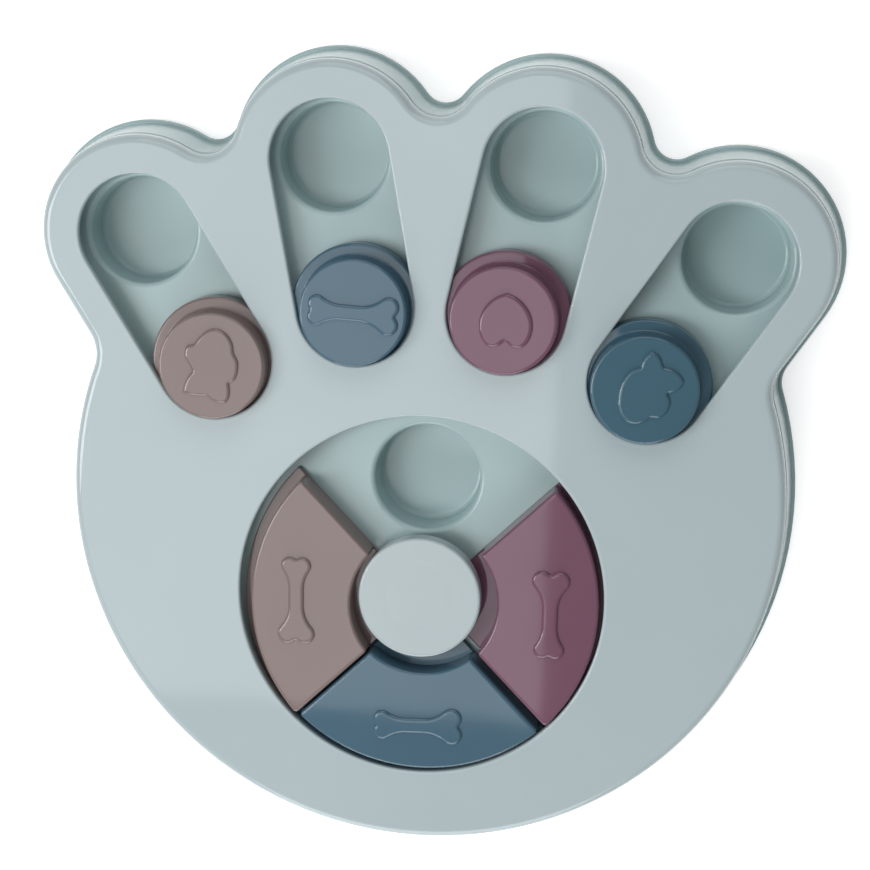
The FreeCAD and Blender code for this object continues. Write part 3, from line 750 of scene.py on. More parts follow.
def level_end(edge: list[Plan]) -> list[Plan]:
    """Lets a rounded edge run on level for a little, which keeps the flat's shading even.

    Args:
        edge: Pairs of inset and height or depth, from the side to the top.

    Returns:
        The same pairs and one further in.
    """
    inset, height = edge[-1]
    return edge + [(inset + LEVEL_STRIP, height)]


def dressed(piece: bpy.types.Object, finish: Finish, palette: Palette, body: str, slot: str,
            *nodes: str) -> bpy.types.Object:
    """Gives a piece its finish and body, and hides the nodes that it stands for.

    Args:
        piece: The piece.
        finish: Its finish.
        palette: Where its material comes from.
        body: Body that it moves with.
        slot: The record's slot of its finish. Not used.
        nodes: CAD nodes that it stands for.

    Returns:
        The piece.
    """
    piece.data.materials.clear()
    piece.data.materials.append(palette.get(finish))
    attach(piece, body)
    if nodes:
        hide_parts(*nodes)
    return piece


@dataclass(frozen=True)
class Relief:
    """A motif raised on a flat top, with a steep foot and a softly rounded shoulder."""

    outline: np.ndarray
    height: float = 1.0
    shoulder: float = 1.2
    clear: float = 1.9
    spacing: float = 0.35
    fine_spacing: float = 1.1
    level_slack: float = 0.02
    nearest: float = 0.04
    levels: tuple[float, ...] = (-0.5, -0.2, 0.0, 0.05, 0.14, 0.28, 0.46, 0.68, 0.92, 1.2, 1.5)

    def rise(self, depth: np.ndarray) -> np.ndarray:
        """Gives the height above the flat top at a distance inside the outline.

        Args:
            depth: Distances inside the outline.

        Returns:
            The heights.
        """
        share = np.clip(depth / self.shoulder, 0.0, 1.0)
        return self.height * np.sqrt(1.0 - (1.0 - share) ** 2)

    def surface(self, rim: np.ndarray, level: float, spacing: float,
                margin: float = 0.6) -> np.ndarray:
        """Gives points of the top that carries the motif.

        Args:
            rim: The top's rim.
            level: The top's height.
            spacing: Distance between points on the flat.
            margin: Strip along the rim that gets no point.

        Returns:
            The points, one x, y, z a row.
        """
        loop = self.outline
        step = np.roll(loop, -1, axis=0) - np.roll(loop, 1, axis=0)
        normal = np.column_stack([-step[:, 1], step[:, 0]]) / np.linalg.norm(step, axis=1)[:, None]
        if depth_in(loop[:1] + normal[:1] * self.spacing, loop)[0] < 0.0:
            normal = -normal
        parts = []
        for wanted in self.levels:
            row = loop + normal * wanted
            exact = np.abs(depth_in(row, loop) - wanted) < self.level_slack
            parts.append(row[exact])
        flat = grid(tuple(rim.min(axis=0)), tuple(rim.max(axis=0)), spacing)
        fine = grid(tuple(loop.min(axis=0) - 1.0), tuple(loop.max(axis=0) + 1.0),
                    self.fine_spacing)
        parts.append(flat[np.abs(depth_in(flat, loop)) > self.clear])
        parts.append(fine[np.abs(depth_in(fine, loop)) > self.clear])
        points = np.vstack(parts)
        points = points[depth_in(points, rim) > margin]
        cells = np.round(points / self.nearest).astype(int)
        _, first = np.unique(cells, axis=0, return_index=True)
        points = points[np.sort(first)]
        heights = level + self.rise(depth_in(points, loop))
        return np.column_stack([points, heights])


def even_steps(points: np.ndarray, spacing: float) -> np.ndarray:
    """Spaces the points of a closed line evenly.

    Args:
        points: The line's points.
        spacing: Wanted distance between points.

    Returns:
        The new points.
    """
    closed = np.vstack([points, points[:1]])
    run = np.concatenate([[0.0], np.cumsum(np.linalg.norm(np.diff(closed, axis=0), axis=1))])
    steps = max(FEWEST_ARC_STEPS, round(run[-1] / spacing))
    marks = np.linspace(0.0, run[-1], steps, endpoint=False)
    return np.column_stack([np.interp(marks, run, closed[:, 0]),
                            np.interp(marks, run, closed[:, 1])])


def smooth_run(points: Sequence[Plan], steps: int = 12) -> np.ndarray:
    """Gives a smooth curve through points, without its last point.

    Args:
        points: Points that the curve passes through.
        steps: Steps between two points.

    Returns:
        Points of the curve.
    """
    known = np.array(points)
    before = 2.0 * known[0] - known[1]
    after = 2.0 * known[-1] - known[-2]
    padded = np.vstack([before, known, after])
    found = []
    for a, b, c, d in zip(padded, padded[1:], padded[2:], padded[3:]):
        for step in range(steps):
            t = step / steps
            found.append(0.5 * (2.0 * b + (c - a) * t + (2.0 * a - 5.0 * b + 4.0 * c - d) * t ** 2
                                + (3.0 * b - a - 3.0 * c + d) * t ** 3))
    return np.array(found)


class Motif(Enum):
    """What is raised on the knobs and lids.

    Listed motifs are rings of smooth runs that meet at corners.
    """

    BONE = None
    DOG_HEAD = (
        ((-6.2, 7.7), (-8.4, 7.0), (-9.4, 5.4), (-9.4, 2.9), (-7.9, 0.5), (-6.5, -2.0)),
        ((-6.5, -2.0), (-8.2, -4.2), (-9.5, -7.2), (-10.0, -9.9)),
        ((-10.0, -9.9), (-6.7, -10.6), (-3.5, -10.9), (-1.1, -10.6)),
        ((-1.1, -10.6), (0.5, -12.0), (3.0, -12.9), (5.6, -12.9)),
        ((5.6, -12.9), (6.8, -10.9), (7.1, -8.4), (6.7, -5.7)),
        ((6.7, -5.7), (8.8, -4.3), (9.8, -1.4), (9.8, 2.2), (8.3, 5.2), (7.9, 8.1), (6.4, 10.9),
         (4.1, 12.9), (1.6, 13.6), (-1.3, 12.8), (-3.8, 10.7), (-6.2, 7.7)),
    )
    BERRY = (
        ((-2.0, 8.1), (-1.5, 10.4), (-0.2, 12.5), (1.6, 13.7), (3.6, 13.0), (5.0, 11.2),
         (6.1, 8.5)),
        ((6.1, 8.5), (8.2, 8.2), (10.4, 7.3), (12.2, 5.8), (13.4, 3.9)),
        ((13.4, 3.9), (12.4, 1.9), (10.5, 0.3), (7.8, -0.6)),
        ((7.8, -0.6), (9.0, -3.0), (8.6, -5.8), (7.2, -8.0), (5.2, -9.4), (2.6, -9.4), (0.0, -11.2),
         (-2.6, -11.9), (-5.4, -11.4), (-7.9, -9.3), (-9.1, -6.2), (-9.2, -3.0), (-8.8, 0.4),
         (-7.6, 3.8), (-5.2, 6.8), (-2.0, 8.1)),
    )
    HEART = (
        ((1.0, -6.8), (-1.2, -8.6), (-3.8, -9.2), (-6.2, -7.9), (-7.9, -4.8), (-8.4, -1.0),
         (-7.5, 2.7), (-5.5, 5.9), (-2.6, 8.4), (1.0, 9.9)),
        ((1.0, 9.9), (4.6, 8.4), (7.5, 5.9), (9.5, 2.7), (10.4, -1.0), (9.9, -4.8), (8.2, -7.9),
         (5.8, -9.2), (3.2, -8.6), (1.0, -6.8)),
    )

    def relief(self, centre: Plan, turn: float) -> Relief:
        """Gives the motif as a relief in place.

        Args:
            centre: The motif's middle.
            turn: How far it is turned anticlockwise, in degrees.

        Returns:
            The relief.
        """
        if self is Motif.BONE:
            drawn = BonePlan().outline()
        else:
            drawn = np.vstack([smooth_run(run) for run in self.value])
        loop = even_steps(drawn, Relief.spacing)
        cosine, sine = math.cos(math.radians(turn)), math.sin(math.radians(turn))
        turned = np.column_stack([loop[:, 0] * cosine - loop[:, 1] * sine,
                                  loop[:, 0] * sine + loop[:, 1] * cosine])
        return Relief(turned + np.array(centre))


@dataclass(frozen=True)
class BonePlan:
    """Bone along X with its bigger end at +X."""

    half_length: float = 12.7
    small_lobe: float = 3.2
    small_spread: float = 2.3
    big_lobe: float = 3.7
    big_spread: float = 3.1
    shaft: float = 2.8
    neck_round: float = 12.0
    notch_round: float = 0.9
    step: float = 0.4
    notch_step: float = 0.2

    def end(self, lobe: float, spread: float) -> list[Plan]:
        """Gives the outline of an end at +X.

        Args:
            lobe: Radius of its lobes.
            spread: How far they stand from the middle line.

        Returns:
            Points from the lower shaft line to the upper one.
        """
        neck_y = self.shaft + self.neck_round
        neck_x = self.half_length - math.sqrt(
            (lobe + self.neck_round) ** 2 - (neck_y - spread) ** 2)
        notch = (self.half_length + math.sqrt((lobe + self.notch_round) ** 2 - spread ** 2), 0.0)
        low, high = (self.half_length, -spread), (self.half_length, spread)
        low_neck, high_neck = (neck_x, -neck_y), (neck_x, neck_y)
        arcs = [
            arc_between(low_neck, self.neck_round, QUARTER_TURN, heading(low_neck, low),
                        -1, 1, self.step),
            arc_between(low, lobe, heading(low, low_neck), heading(low, notch), 1, 1, self.step),
            arc_between(notch, self.notch_round, heading(notch, low), heading(notch, high),
                        -1, 1, self.notch_step),
            arc_between(high, lobe, heading(high, notch), heading(high, high_neck),
                        1, 1, self.step),
            arc_between(high_neck, self.neck_round, heading(high_neck, high), -QUARTER_TURN,
                        -1, 1, self.step),
        ]
        return [point for arc in arcs for point in arc.points(0.0)]

    def outline(self) -> np.ndarray:
        """Gives the whole outline.

        Returns:
            Points of the closed outline.
        """
        big = self.end(self.big_lobe, self.big_spread)
        small = [(-x, -y) for x, y in self.end(self.small_lobe, self.small_spread)]
        return np.array(big + small)


@dataclass
class TopCover:
    """The paw-shaped cover: a thin shell with a rounded edge, four toe slots and the wheel hole.

    Each screw is its boss's place and how far the top sinks in above it.
    """

    axis: Vector
    palette: Palette
    plan: PawPlan = field(default_factory=PawPlan)
    top: float = 28.0
    wall: float = 2.2
    parting: float = 22.0
    flare: float = 0.8
    edge_round: float = 3.0
    lip_round: float = 0.3
    opening_round: float = 0.8
    rib_inner: float = 66.7
    rib_wall: float = 1.6
    rib_foot: float = 20.85
    boss_radius: float = 4.0
    boss_bore: float = 1.45
    boss_foot: float = 17.75
    sink_radius: float = 3.4
    sink_reach: float = 10.0
    flat_spacing: float = 5.0
    sink_spacing: float = 0.9
    rim_margin: float = 1.0
    lip_steps: int = 3
    opening_steps: int = 6
    rib_steps: int = 192
    screws: tuple[Point, ...] = (
        (-66.0, 125.0, 0.03), (0.0, 132.0, 0.03), (66.0, 125.0, 0.03),
        (-100.0, 10.0, 0.03), (100.0, 10.0, 0.03), (0.0, -79.2, 0.14),
    )

    def surface(self, rim: np.ndarray, holes: list[np.ndarray]) -> np.ndarray:
        """Gives points of the top, which sinks a little over the screw bosses.

        Args:
            rim: The top's outer rim.
            holes: The rims of the openings.

        Returns:
            The points, one x, y, z a row.
        """
        low, high = tuple(rim.min(axis=0)), tuple(rim.max(axis=0))
        coarse = grid(low, high, self.flat_spacing)
        near = np.zeros(len(coarse), bool)
        parts = []
        for x, y, _ in self.screws:
            near |= np.hypot(coarse[:, 0] - x, coarse[:, 1] - y) < self.sink_reach
            fine = grid((x - self.sink_reach, y - self.sink_reach),
                        (x + self.sink_reach, y + self.sink_reach), self.sink_spacing)
            parts.append(fine[np.hypot(fine[:, 0] - x, fine[:, 1] - y) < self.sink_reach])
        points = np.vstack([coarse[~near]] + parts)
        points = points[depth_in(points, rim) > self.rim_margin]
        for hole in holes:
            points = points[depth_in(points, hole) < -self.rim_margin]
        heights = np.full(len(points), self.top)
        for x, y, depth in self.screws:
            away = np.hypot(points[:, 0] - x, points[:, 1] - y)
            heights -= depth * np.exp(-(away / self.sink_radius) ** 2)
        return np.column_stack([points, heights])

    def build(self) -> bpy.types.Object:
        """Builds and dresses the cover.

        Returns:
            The cover.
        """
        shell = Shell()
        under = self.top - self.wall
        inner = self.plan.outline(-self.wall)
        skirt = [shell.ring(inner, under), shell.ring(inner, self.parting)]
        lip_top = self.parting + self.lip_round
        for inset, rise in quarter_round(self.lip_round, self.lip_steps)[::-1]:
            skirt.append(shell.ring(self.plan.outline(self.flare - inset), lip_top - rise))
        side = rounded_top(self.flare, self.top - self.parting, self.edge_round)
        for inset, depth in level_end(side):
            skirt.append(shell.ring(self.plan.outline(-inset), self.top - depth))
        shell.skin(skirt)

        top_rims, under_rims = [skirt[-1]], [skirt[0]]
        edge = level_end(quarter_round(self.opening_round, self.opening_steps))
        for opening in self.openings():
            rings = [shell.ring(opening(0.0), under)]
            for inset, rise in edge:
                rings.append(shell.ring(opening(inset), self.top - self.opening_round + rise))
            shell.skin(rings)
            top_rims.append(rings[-1])
            under_rims.append(rings[0])
        loops = [np.array([shell.points[number][:2] for number in rim]) for rim in top_rims]
        shell.cap(top_rims, self.surface(loops[0], loops[1:]))
        shell.cap(under_rims)
        rooted = under + self.wall / 2.0
        shell.tube(self.rib_inner + self.rib_wall, self.rib_inner, self.rib_foot, rooted,
                   (0.0, 0.0), self.rib_steps)
        for x, y, _ in self.screws:
            shell.tube(self.boss_radius, self.boss_bore, self.boss_foot, rooted, (x, y))
        piece = shell.build("cover_shell", self.axis)
        return dressed(piece, Finish.COVER, self.palette, "body", "cover_plastic", "top_cover")

    def openings(self) -> list[Any]:
        """Gives each opening's outline as a function of how far it is widened."""
        found: list[Any] = [lambda offset, toe=toe: self.plan.slot(toe, offset) for toe in Toe]
        found.append(self.plan.wheel_hole)
        return found


@dataclass
class BaseTray:
    """The tray below the cover, with its cups, curbs and ribs, as the source makes it."""

    palette: Palette
    node: str = "base_tray"

    def build(self) -> bpy.types.Object:
        """Dresses the tray's own node.

        Returns:
            The node's object.
        """
        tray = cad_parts[self.node]
        for place in tray.material_slots:
            place.material = self.palette.get(Finish.TRAY)
        return tray


@dataclass
class ToeSlider:
    """A hollow knob with a raised motif, on a wider flange that runs below the cover."""

    toe: Toe
    motif: Motif
    finish: Finish
    slot: str
    axis: Vector
    palette: Palette
    motif_turn: float = 0.0
    inward: float = 1.2
    knob_radius: float = 18.9
    knob_draft: float = 0.3
    flange_radius: float = 23.3
    top: float = 34.5
    flange_top: float = 25.4
    foot: float = 18.05
    wall: float = 1.8
    edge_round: float = 0.9
    foot_round: float = 0.8
    steps: int = 160
    edge_steps: int = 10
    flat_spacing: float = 2.2

    def outside(self) -> list[Plan]:
        """Gives the profile from the ceiling inside, down, out and up to the top's rim.

        Returns:
            Pairs of radius and height.
        """
        knob_foot = self.knob_radius + self.knob_draft
        ledge = self.flange_top - self.wall
        profile = [
            (self.knob_radius - self.wall, self.top - self.wall), (knob_foot - self.wall, ledge),
            (self.flange_radius - self.wall, ledge), (self.flange_radius - self.wall, self.foot),
            (self.flange_radius, self.foot),
        ]
        for inset, rise in quarter_round(self.edge_round):
            profile.append((self.flange_radius - inset, self.flange_top - self.edge_round + rise))
        for inset, rise in quarter_round(self.foot_round)[::-1]:
            profile.append((knob_foot + inset, self.flange_top + self.foot_round - rise))
        for inset, rise in level_end(quarter_round(self.edge_round, self.edge_steps)):
            profile.append((self.knob_radius - inset, self.top - self.edge_round + rise))
        return profile

    def build(self) -> bpy.types.Object:
        """Builds and dresses the slider at its rest place.

        Returns:
            The slider.
        """
        centre = self.toe.along(-self.inward)
        shell = Shell()
        rings = [shell.ring(circle(radius, self.steps, centre), height)
                 for radius, height in self.outside()]
        shell.skin(rings)
        shell.cap([rings[0]])
        relief = self.motif.relief(centre, self.motif_turn)
        rim = np.array([shell.points[number][:2] for number in rings[-1]])
        shell.cap([rings[-1]], relief.surface(rim, self.top, self.flat_spacing))
        piece = shell.build("knob_" + self.toe.label, self.axis)
        node = "toe_slider_" + self.toe.label
        return dressed(piece, self.finish, self.palette, node, self.slot, node)


@dataclass(frozen=True)
class SectorPlan:
    """Quarter sector about the wheel's axis with rounded corners."""

    inner_radius: float
    outer_radius: float
    side_gap: float
    corner_round: float
    corner_step: float = 0.3
    outer_steps: int = 64
    inner_steps: int = 40

    def outline(self, inset: float, quarter: float, shift: Plan) -> list[Plan]:
        """Gives the sector's outline.

        Args:
            inset: How far its edge is moved inwards.
            quarter: Angle of its middle line, in degrees.
            shift: How far it lies off the wheel's axis.

        Returns:
            Points of the closed outline, anticlockwise.
        """
        corner = self.corner_round
        deep = self.side_gap + corner
        outer_reach, inner_reach = self.outer_radius - corner, self.inner_radius + corner
        outer_turn = math.pi / 4.0 - math.asin(deep / outer_reach)
        inner_turn = math.pi / 4.0 - math.asin(deep / inner_reach)
        corners = [(inner_reach, -inner_turn), (outer_reach, -outer_turn),
                   (outer_reach, outer_turn), (inner_reach, inner_turn)]
        centres = [(reach * math.cos(turn), reach * math.sin(turn)) for reach, turn in corners]
        across = math.pi * 3.0 / 4.0
        turns = [(-inner_turn - math.pi, -across), (-across, -outer_turn),
                 (outer_turn, across), (across, inner_turn + math.pi)]
        arcs = [arc_between(centre, corner, start, end, 1, -1, self.corner_step)
                for centre, (start, end) in zip(centres, turns)]
        middle = (0.0, 0.0)
        arcs.insert(2, Arc(middle, self.outer_radius, -outer_turn, 2.0 * outer_turn, -1,
                           self.outer_steps))
        arcs.append(Arc(middle, self.inner_radius, inner_turn, -2.0 * inner_turn, 1,
                        self.inner_steps))
        turn = math.radians(quarter)
        cosine, sine = math.cos(turn), math.sin(turn)
        return [(x * cosine - y * sine + shift[0], x * sine + y * cosine + shift[1])
                for arc in arcs for x, y in arc.points(inset)]


@dataclass
class WheelLid:
    """A hollow quarter lid with a raised bone and a thin lip below the cover and the hub's cap."""

    side: str
    quarter: float
    shift: Plan
    finish: Finish
    slot: str
    axis: Vector
    palette: Palette
    block: SectorPlan = SectorPlan(27.7, 64.4, 2.0, 1.7)
    lip: SectorPlan = SectorPlan(19.0, 67.9, 1.95, 0.8)
    hollow: SectorPlan = SectorPlan(30.0, 62.1, 4.3, 0.8)
    foot: float = 18.05
    lip_top: float = 20.25
    top: float = 29.5
    wall: float = 2.0
    draft: float = 0.3
    edge_round: float = 1.0
    edge_steps: int = 10
    lip_round: float = 0.4
    lip_steps: int = 4
    flat_spacing: float = 2.6
    bone_reach: float = 47.6
    bone_turn: float = 0.0
    bone_shift: Plan = (0.0, 0.0)

    def build(self) -> bpy.types.Object:
        """Builds and dresses the lid where it lies at rest.

        Returns:
            The lid.
        """
        shell = Shell()

        def ring(plan: SectorPlan, inset: float, height: float) -> list[int]:
            """Adds a ring of a sector, turned and shifted with the lid."""
            return shell.ring(plan.outline(inset, self.quarter, self.shift), height)

        rings = [ring(self.hollow, 0.0, self.top - self.wall), ring(self.hollow, 0.0, self.foot),
                 ring(self.lip, 0.0, self.foot)]
        for inset, rise in quarter_round(self.lip_round, self.lip_steps):
            rings.append(ring(self.lip, inset, self.lip_top - self.lip_round + rise))
        rings.append(ring(self.block, 0.0, self.lip_top))
        for inset, rise in level_end(quarter_round(self.edge_round, self.edge_steps)):
            rings.append(ring(self.block, self.draft + inset, self.top - self.edge_round + rise))
        shell.skin(rings)
        shell.cap([rings[0]])
        turn = math.radians(self.quarter)
        middle = (self.bone_reach * math.cos(turn) + self.shift[0] + self.bone_shift[0],
                  self.bone_reach * math.sin(turn) + self.shift[1] + self.bone_shift[1])
        relief = Motif.BONE.relief(middle, self.quarter + 90.0 + self.bone_turn)
        rim = np.array([shell.points[number][:2] for number in rings[-1]])
        shell.cap([rings[-1]], relief.surface(rim, self.top, self.flat_spacing))
        piece = shell.build("lid_" + self.side, self.axis)
        node = "wheel_lid_" + self.side
        return dressed(piece, self.finish, self.palette, node, self.slot, node)


class Placement:
    """Geometry Nodes that turn a profile round an upright axis and stand it on every point."""

    def __init__(self, name: str) -> None:
        """Builds the tree.

        Args:
            name: The tree's name.
        """
        self.tree = bpy.data.node_groups.new(name, "GeometryNodeTree")
        self.sockets: dict[str, str] = {}
        self.entry = add_node(self.tree, "NodeGroupInput")

    def take(self, label: str, kind: str, default: Any = None) -> bpy.types.NodeSocket:
        """Adds a named input to the tree.

        Args:
            label: The input's name.
            kind: Its socket type.
            default: Its default value.

        Returns:
            The socket that gives its value inside the tree.
        """
        made = self.tree.interface.new_socket(label, in_out="INPUT", socket_type=kind)
        if default is not None:
            made.default_value = default
        self.sockets[label] = made.identifier
        return self.entry.outputs[label]

    def finish(self, geometry: bpy.types.NodeSocket, material: bpy.types.NodeSocket,
               places: bpy.types.NodeSocket) -> None:
        """Ends the tree: the shape stands on every point, is made real and gets its material.

        Args:
            geometry: The shape.
            material: Its material.
            places: The points.
        """
        tree = self.tree
        tree.interface.new_socket("Geometry", in_out="OUTPUT", socket_type="NodeSocketGeometry")
        stood = add_node(tree, "GeometryNodeInstanceOnPoints", None, {
            "Points": places, "Instance": geometry})
        real = add_node(tree, "GeometryNodeRealizeInstances", None, {
            "Geometry": stood.outputs["Instances"]})
        coated = add_node(tree, "GeometryNodeSetMaterial", None, {
            "Geometry": real.outputs["Geometry"], "Material": material})
        add_node(tree, "NodeGroupOutput", None, {"Geometry": coated.outputs["Geometry"]})

    def lathe(self, profile: bpy.types.NodeSocket,
              segments: bpy.types.NodeSocket) -> bpy.types.NodeSocket:
        """Adds nodes that turn a profile, drawn in X and Y, round the Z axis.

        Args:
            profile: Object whose edges are the profile, with radius along X and height along Y.
            segments: Faces round the axis.

        Returns:
            The turned mesh.
        """
        tree = self.tree
        drawn = add_node(tree, "GeometryNodeObjectInfo", None, {"Object": profile})
        line = add_node(tree, "GeometryNodeMeshToCurve", None, {"Mesh": drawn.outputs["Geometry"]})
        path = add_node(tree, "GeometryNodeCurvePrimitiveCircle", None, {
            "Resolution": segments, "Radius": PATH_RADIUS})
        swept = add_node(tree, "GeometryNodeCurveToMesh", None, {
            "Curve": path.outputs["Curve"], "Profile Curve": line.outputs["Curve"]})
        welded = add_node(tree, "GeometryNodeMergeByDistance", None, {
            "Geometry": swept.outputs["Mesh"], "Distance": WELD_DISTANCE})
        return welded.outputs["Geometry"]

    def apply(self, name: str, places: Sequence[Vector],
              values: dict[str, Any]) -> bpy.types.Object:
        """Runs the tree on points and keeps the result as a plain mesh.

        Args:
            name: Name of the object to make.
            places: Points in the row frame, in metres.
            values: Value of each named input.

        Returns:
            The object.
        """
        mesh = bpy.data.meshes.new(name + "_points")
        mesh.from_pydata([tuple(place) for place in places], [], [])
        carrier = bpy.data.objects.new(name + "_points", mesh)
        bpy.context.scene.collection.objects.link(carrier)
        modifier = carrier.modifiers.new("placement", "NODES")
        modifier.node_group = self.tree
        for label, value in values.items():
            modifier[self.sockets[label]] = value
        evaluated = carrier.evaluated_get(bpy.context.evaluated_depsgraph_get())
        made = bpy.data.meshes.new_from_object(evaluated)
        bpy.data.objects.remove(carrier)
        close_mesh(made)
        return placed_mesh(name, made)


def profile_object(name: str, profile: Sequence[Plan]) -> bpy.types.Object:
    """Draws a lathe profile as a chain of edges, set back by the radius of its sweep's path.

    Args:
        name: The object's name.
        profile: Pairs of radius and height in millimetres.

    Returns:
        The object, which is removed once its piece is made.
    """
    mesh = bpy.data.meshes.new(name)
    points = [(radius * MM - PATH_RADIUS, -height * MM, 0.0) for radius, height in profile]
    mesh.from_pydata(points, [(index, index + 1) for index in range(len(points) - 1)], [])
    made = bpy.data.objects.new(name, mesh)
    bpy.context.scene.collection.objects.link(made)
    return made


def foot_centre(low: Vector, high: Vector) -> Vector:
    """Gives the middle of a box's underside."""
    return Vector(((low.x + high.x) / 2.0, (low.y + high.y) / 2.0, low.z))


class LathedPieces(Placement):
    """Geometry Nodes for turned pieces that stand on points."""

    def __init__(self) -> None:
        """Builds the tree with its inputs."""
        super().__init__("turned_pieces")
        places = self.take("Places", "NodeSocketGeometry")
        profile = self.take("Profile", "NodeSocketObject")
        segments = self.take("Segments", "NodeSocketInt", 96)
        material = self.take("Material", "NodeSocketMaterial")
        self.finish(self.lathe(profile, segments), material, places)


class ScrewPieces(Placement):
    """Geometry Nodes for cross-recessed screws that stand on points."""

    def __init__(self) -> None:
        """Builds the tree with its inputs."""
        super().__init__("cross_recessed_screws")
        tree = self.tree
        places = self.take("Places", "NodeSocketGeometry")
        profile = self.take("Profile", "NodeSocketObject")
        segments = self.take("Segments", "NodeSocketInt", 32)
        material = self.take("Material", "NodeSocketMaterial")
        turns = self.take("Thread Turns", "NodeSocketFloat", 6.0)
        length = self.take("Thread Length", "NodeSocketFloat", 6.0 * MM)
        radius = self.take("Thread Radius", "NodeSocketFloat", 1.4 * MM)
        tooth = self.take("Thread Tooth", "NodeSocketFloat", 0.26 * MM)
        start = self.take("Thread Start", "NodeSocketFloat", 1.5 * MM)
        recess = self.take("Recess Size", "NodeSocketVector", (3.2 * MM, 0.7 * MM, 2.2 * MM))

        body = self.lathe(profile, segments)
        one = add_node(tree, "GeometryNodeMeshCube", None, {"Size": recess})
        other = add_node(tree, "GeometryNodeTransform", None, {
            "Geometry": one.outputs["Mesh"], "Rotation": (0.0, 0.0, QUARTER_TURN)})
        cut = add_node(tree, "GeometryNodeMeshBoolean", {"operation": "DIFFERENCE"}, {
            "Mesh 1": body, "Mesh 2": one.outputs["Mesh"]})
        cut_again = add_node(tree, "GeometryNodeMeshBoolean", {"operation": "DIFFERENCE"}, {
            "Mesh 1": cut.outputs["Mesh"], "Mesh 2": other.outputs["Geometry"]})
        helix = add_node(tree, "GeometryNodeCurveSpiral", None, {
            "Resolution": 24, "Rotations": turns, "Start Radius": radius, "End Radius": radius,
            "Height": length})
        edge = add_node(tree, "GeometryNodeCurvePrimitiveCircle", None, {
            "Resolution": 3, "Radius": tooth})
        thread = add_node(tree, "GeometryNodeCurveToMesh", None, {
            "Curve": helix.outputs["Curve"], "Profile Curve": edge.outputs["Curve"],
            "Fill Caps": True})
        raised = add_node(tree, "ShaderNodeCombineXYZ", None, {"Z": start})
        standing = add_node(tree, "GeometryNodeTransform", None, {
            "Geometry": thread.outputs["Mesh"], "Translation": raised.outputs["Vector"]})
        joined = add_node(tree, "GeometryNodeJoinGeometry", None, {
            "Geometry": cut_again.outputs["Mesh"]})
        tree.links.new(standing.outputs["Geometry"], joined.inputs["Geometry"])
        self.finish(joined.outputs["Geometry"], material, places)


@dataclass
class HubCap:
    """The disc at the wheel's middle, with a faint sunken ring over the sleeve moulded below it."""

    axis: Vector
    palette: Palette
    turned: LathedPieces
    top: float = 29.9
    under: float = 27.7
    radius: float = 22.0
    skirt_foot: float = 24.0
    wall: float = 1.8
    edge_round: float = 0.9
    sleeve_outer: float = 13.5
    sleeve_foot: float = 22.5
    stem_radius: float = 4.0
    sink_reach: float = 12.2
    sink_width: float = 1.5
    sink_depth: float = 0.06
    flat_steps: int = 64
    segments: int = 192

    def profile(self) -> list[Plan]:
        """Gives the cap's profile from the axis on top, outwards, down and back to the axis.

        Returns:
            Pairs of radius and height.
        """
        flat = self.radius - self.edge_round
        line = []
        for radius in np.linspace(0.0, flat, self.flat_steps):
            sink = self.sink_depth * math.exp(-((radius - self.sink_reach) / self.sink_width) ** 2)
            line.append((float(radius), self.top - sink))
        for inset, rise in quarter_round(self.edge_round)[::-1][1:]:
            line.append((self.radius - inset, self.top - self.edge_round + rise))
        sleeve_inner = self.sleeve_outer - self.wall
        line += [
            (self.radius, self.skirt_foot), (self.radius - self.wall, self.skirt_foot),
            (self.radius - self.wall, self.under), (self.sleeve_outer, self.under),
            (self.sleeve_outer, self.sleeve_foot), (sleeve_inner, self.sleeve_foot),
            (sleeve_inner, self.under), (self.stem_radius, self.under),
            (self.stem_radius, self.sleeve_foot), (0.0, self.sleeve_foot),
        ]
        return line

    def build(self) -> bpy.types.Object:
        """Builds and dresses the cap.

        Returns:
            The cap.
        """
        drawn = profile_object("hub_cap_profile", self.profile())
        piece = self.turned.apply("hub_disc", [Vector((self.axis.x, self.axis.y, 0.0))], {
            "Profile": drawn, "Segments": self.segments,
            "Material": self.palette.get(Finish.CAP)})
        bpy.data.objects.remove(drawn)
        return dressed(piece, Finish.CAP, self.palette, "body", "cap_plastic", "hub_cap")


@dataclass
class RubberFeet:
    """Six soft feet with two grip grooves each."""

    palette: Palette
    turned: LathedPieces
    radius: float = 7.0
    height: float = 2.2
    edge_round: float = 0.5
    grooves: tuple[float, ...] = (2.6, 4.7)
    groove_width: float = 0.8
    groove_depth: float = 0.35
    segments: int = 72

    def profile(self) -> list[Plan]:
        """Gives a foot's profile from the axis below, outwards, up and back to the axis.

        Returns:
            Pairs of radius and height.
        """
        line = [(0.0, 0.0)]
        half = self.groove_width / 2.0
        for reach in self.grooves:
            line += [(reach - half, 0.0), (reach - half * 0.5, self.groove_depth),
                     (reach + half * 0.5, self.groove_depth), (reach + half, 0.0)]
        for inset, rise in quarter_round(self.edge_round)[::-1]:
            line.append((self.radius - inset, self.edge_round - rise))
        line += [(self.radius, self.height), (0.0, self.height)]
        return line

    def build(self) -> bpy.types.Object:
        """Builds and dresses all six feet.

        Returns:
            The feet as one piece.
        """
        names = sorted(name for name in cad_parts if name.startswith("foot_"))
        places = [foot_centre(*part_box(name)) for name in names]
        drawn = profile_object("foot_profile", self.profile())
        piece = self.turned.apply("rubber_feet", places, {
            "Profile": drawn, "Segments": self.segments,
            "Material": self.palette.get(Finish.RUBBER)})
        bpy.data.objects.remove(drawn)
        return dressed(piece, Finish.RUBBER, self.palette, "body", "foot_rubber", *names)


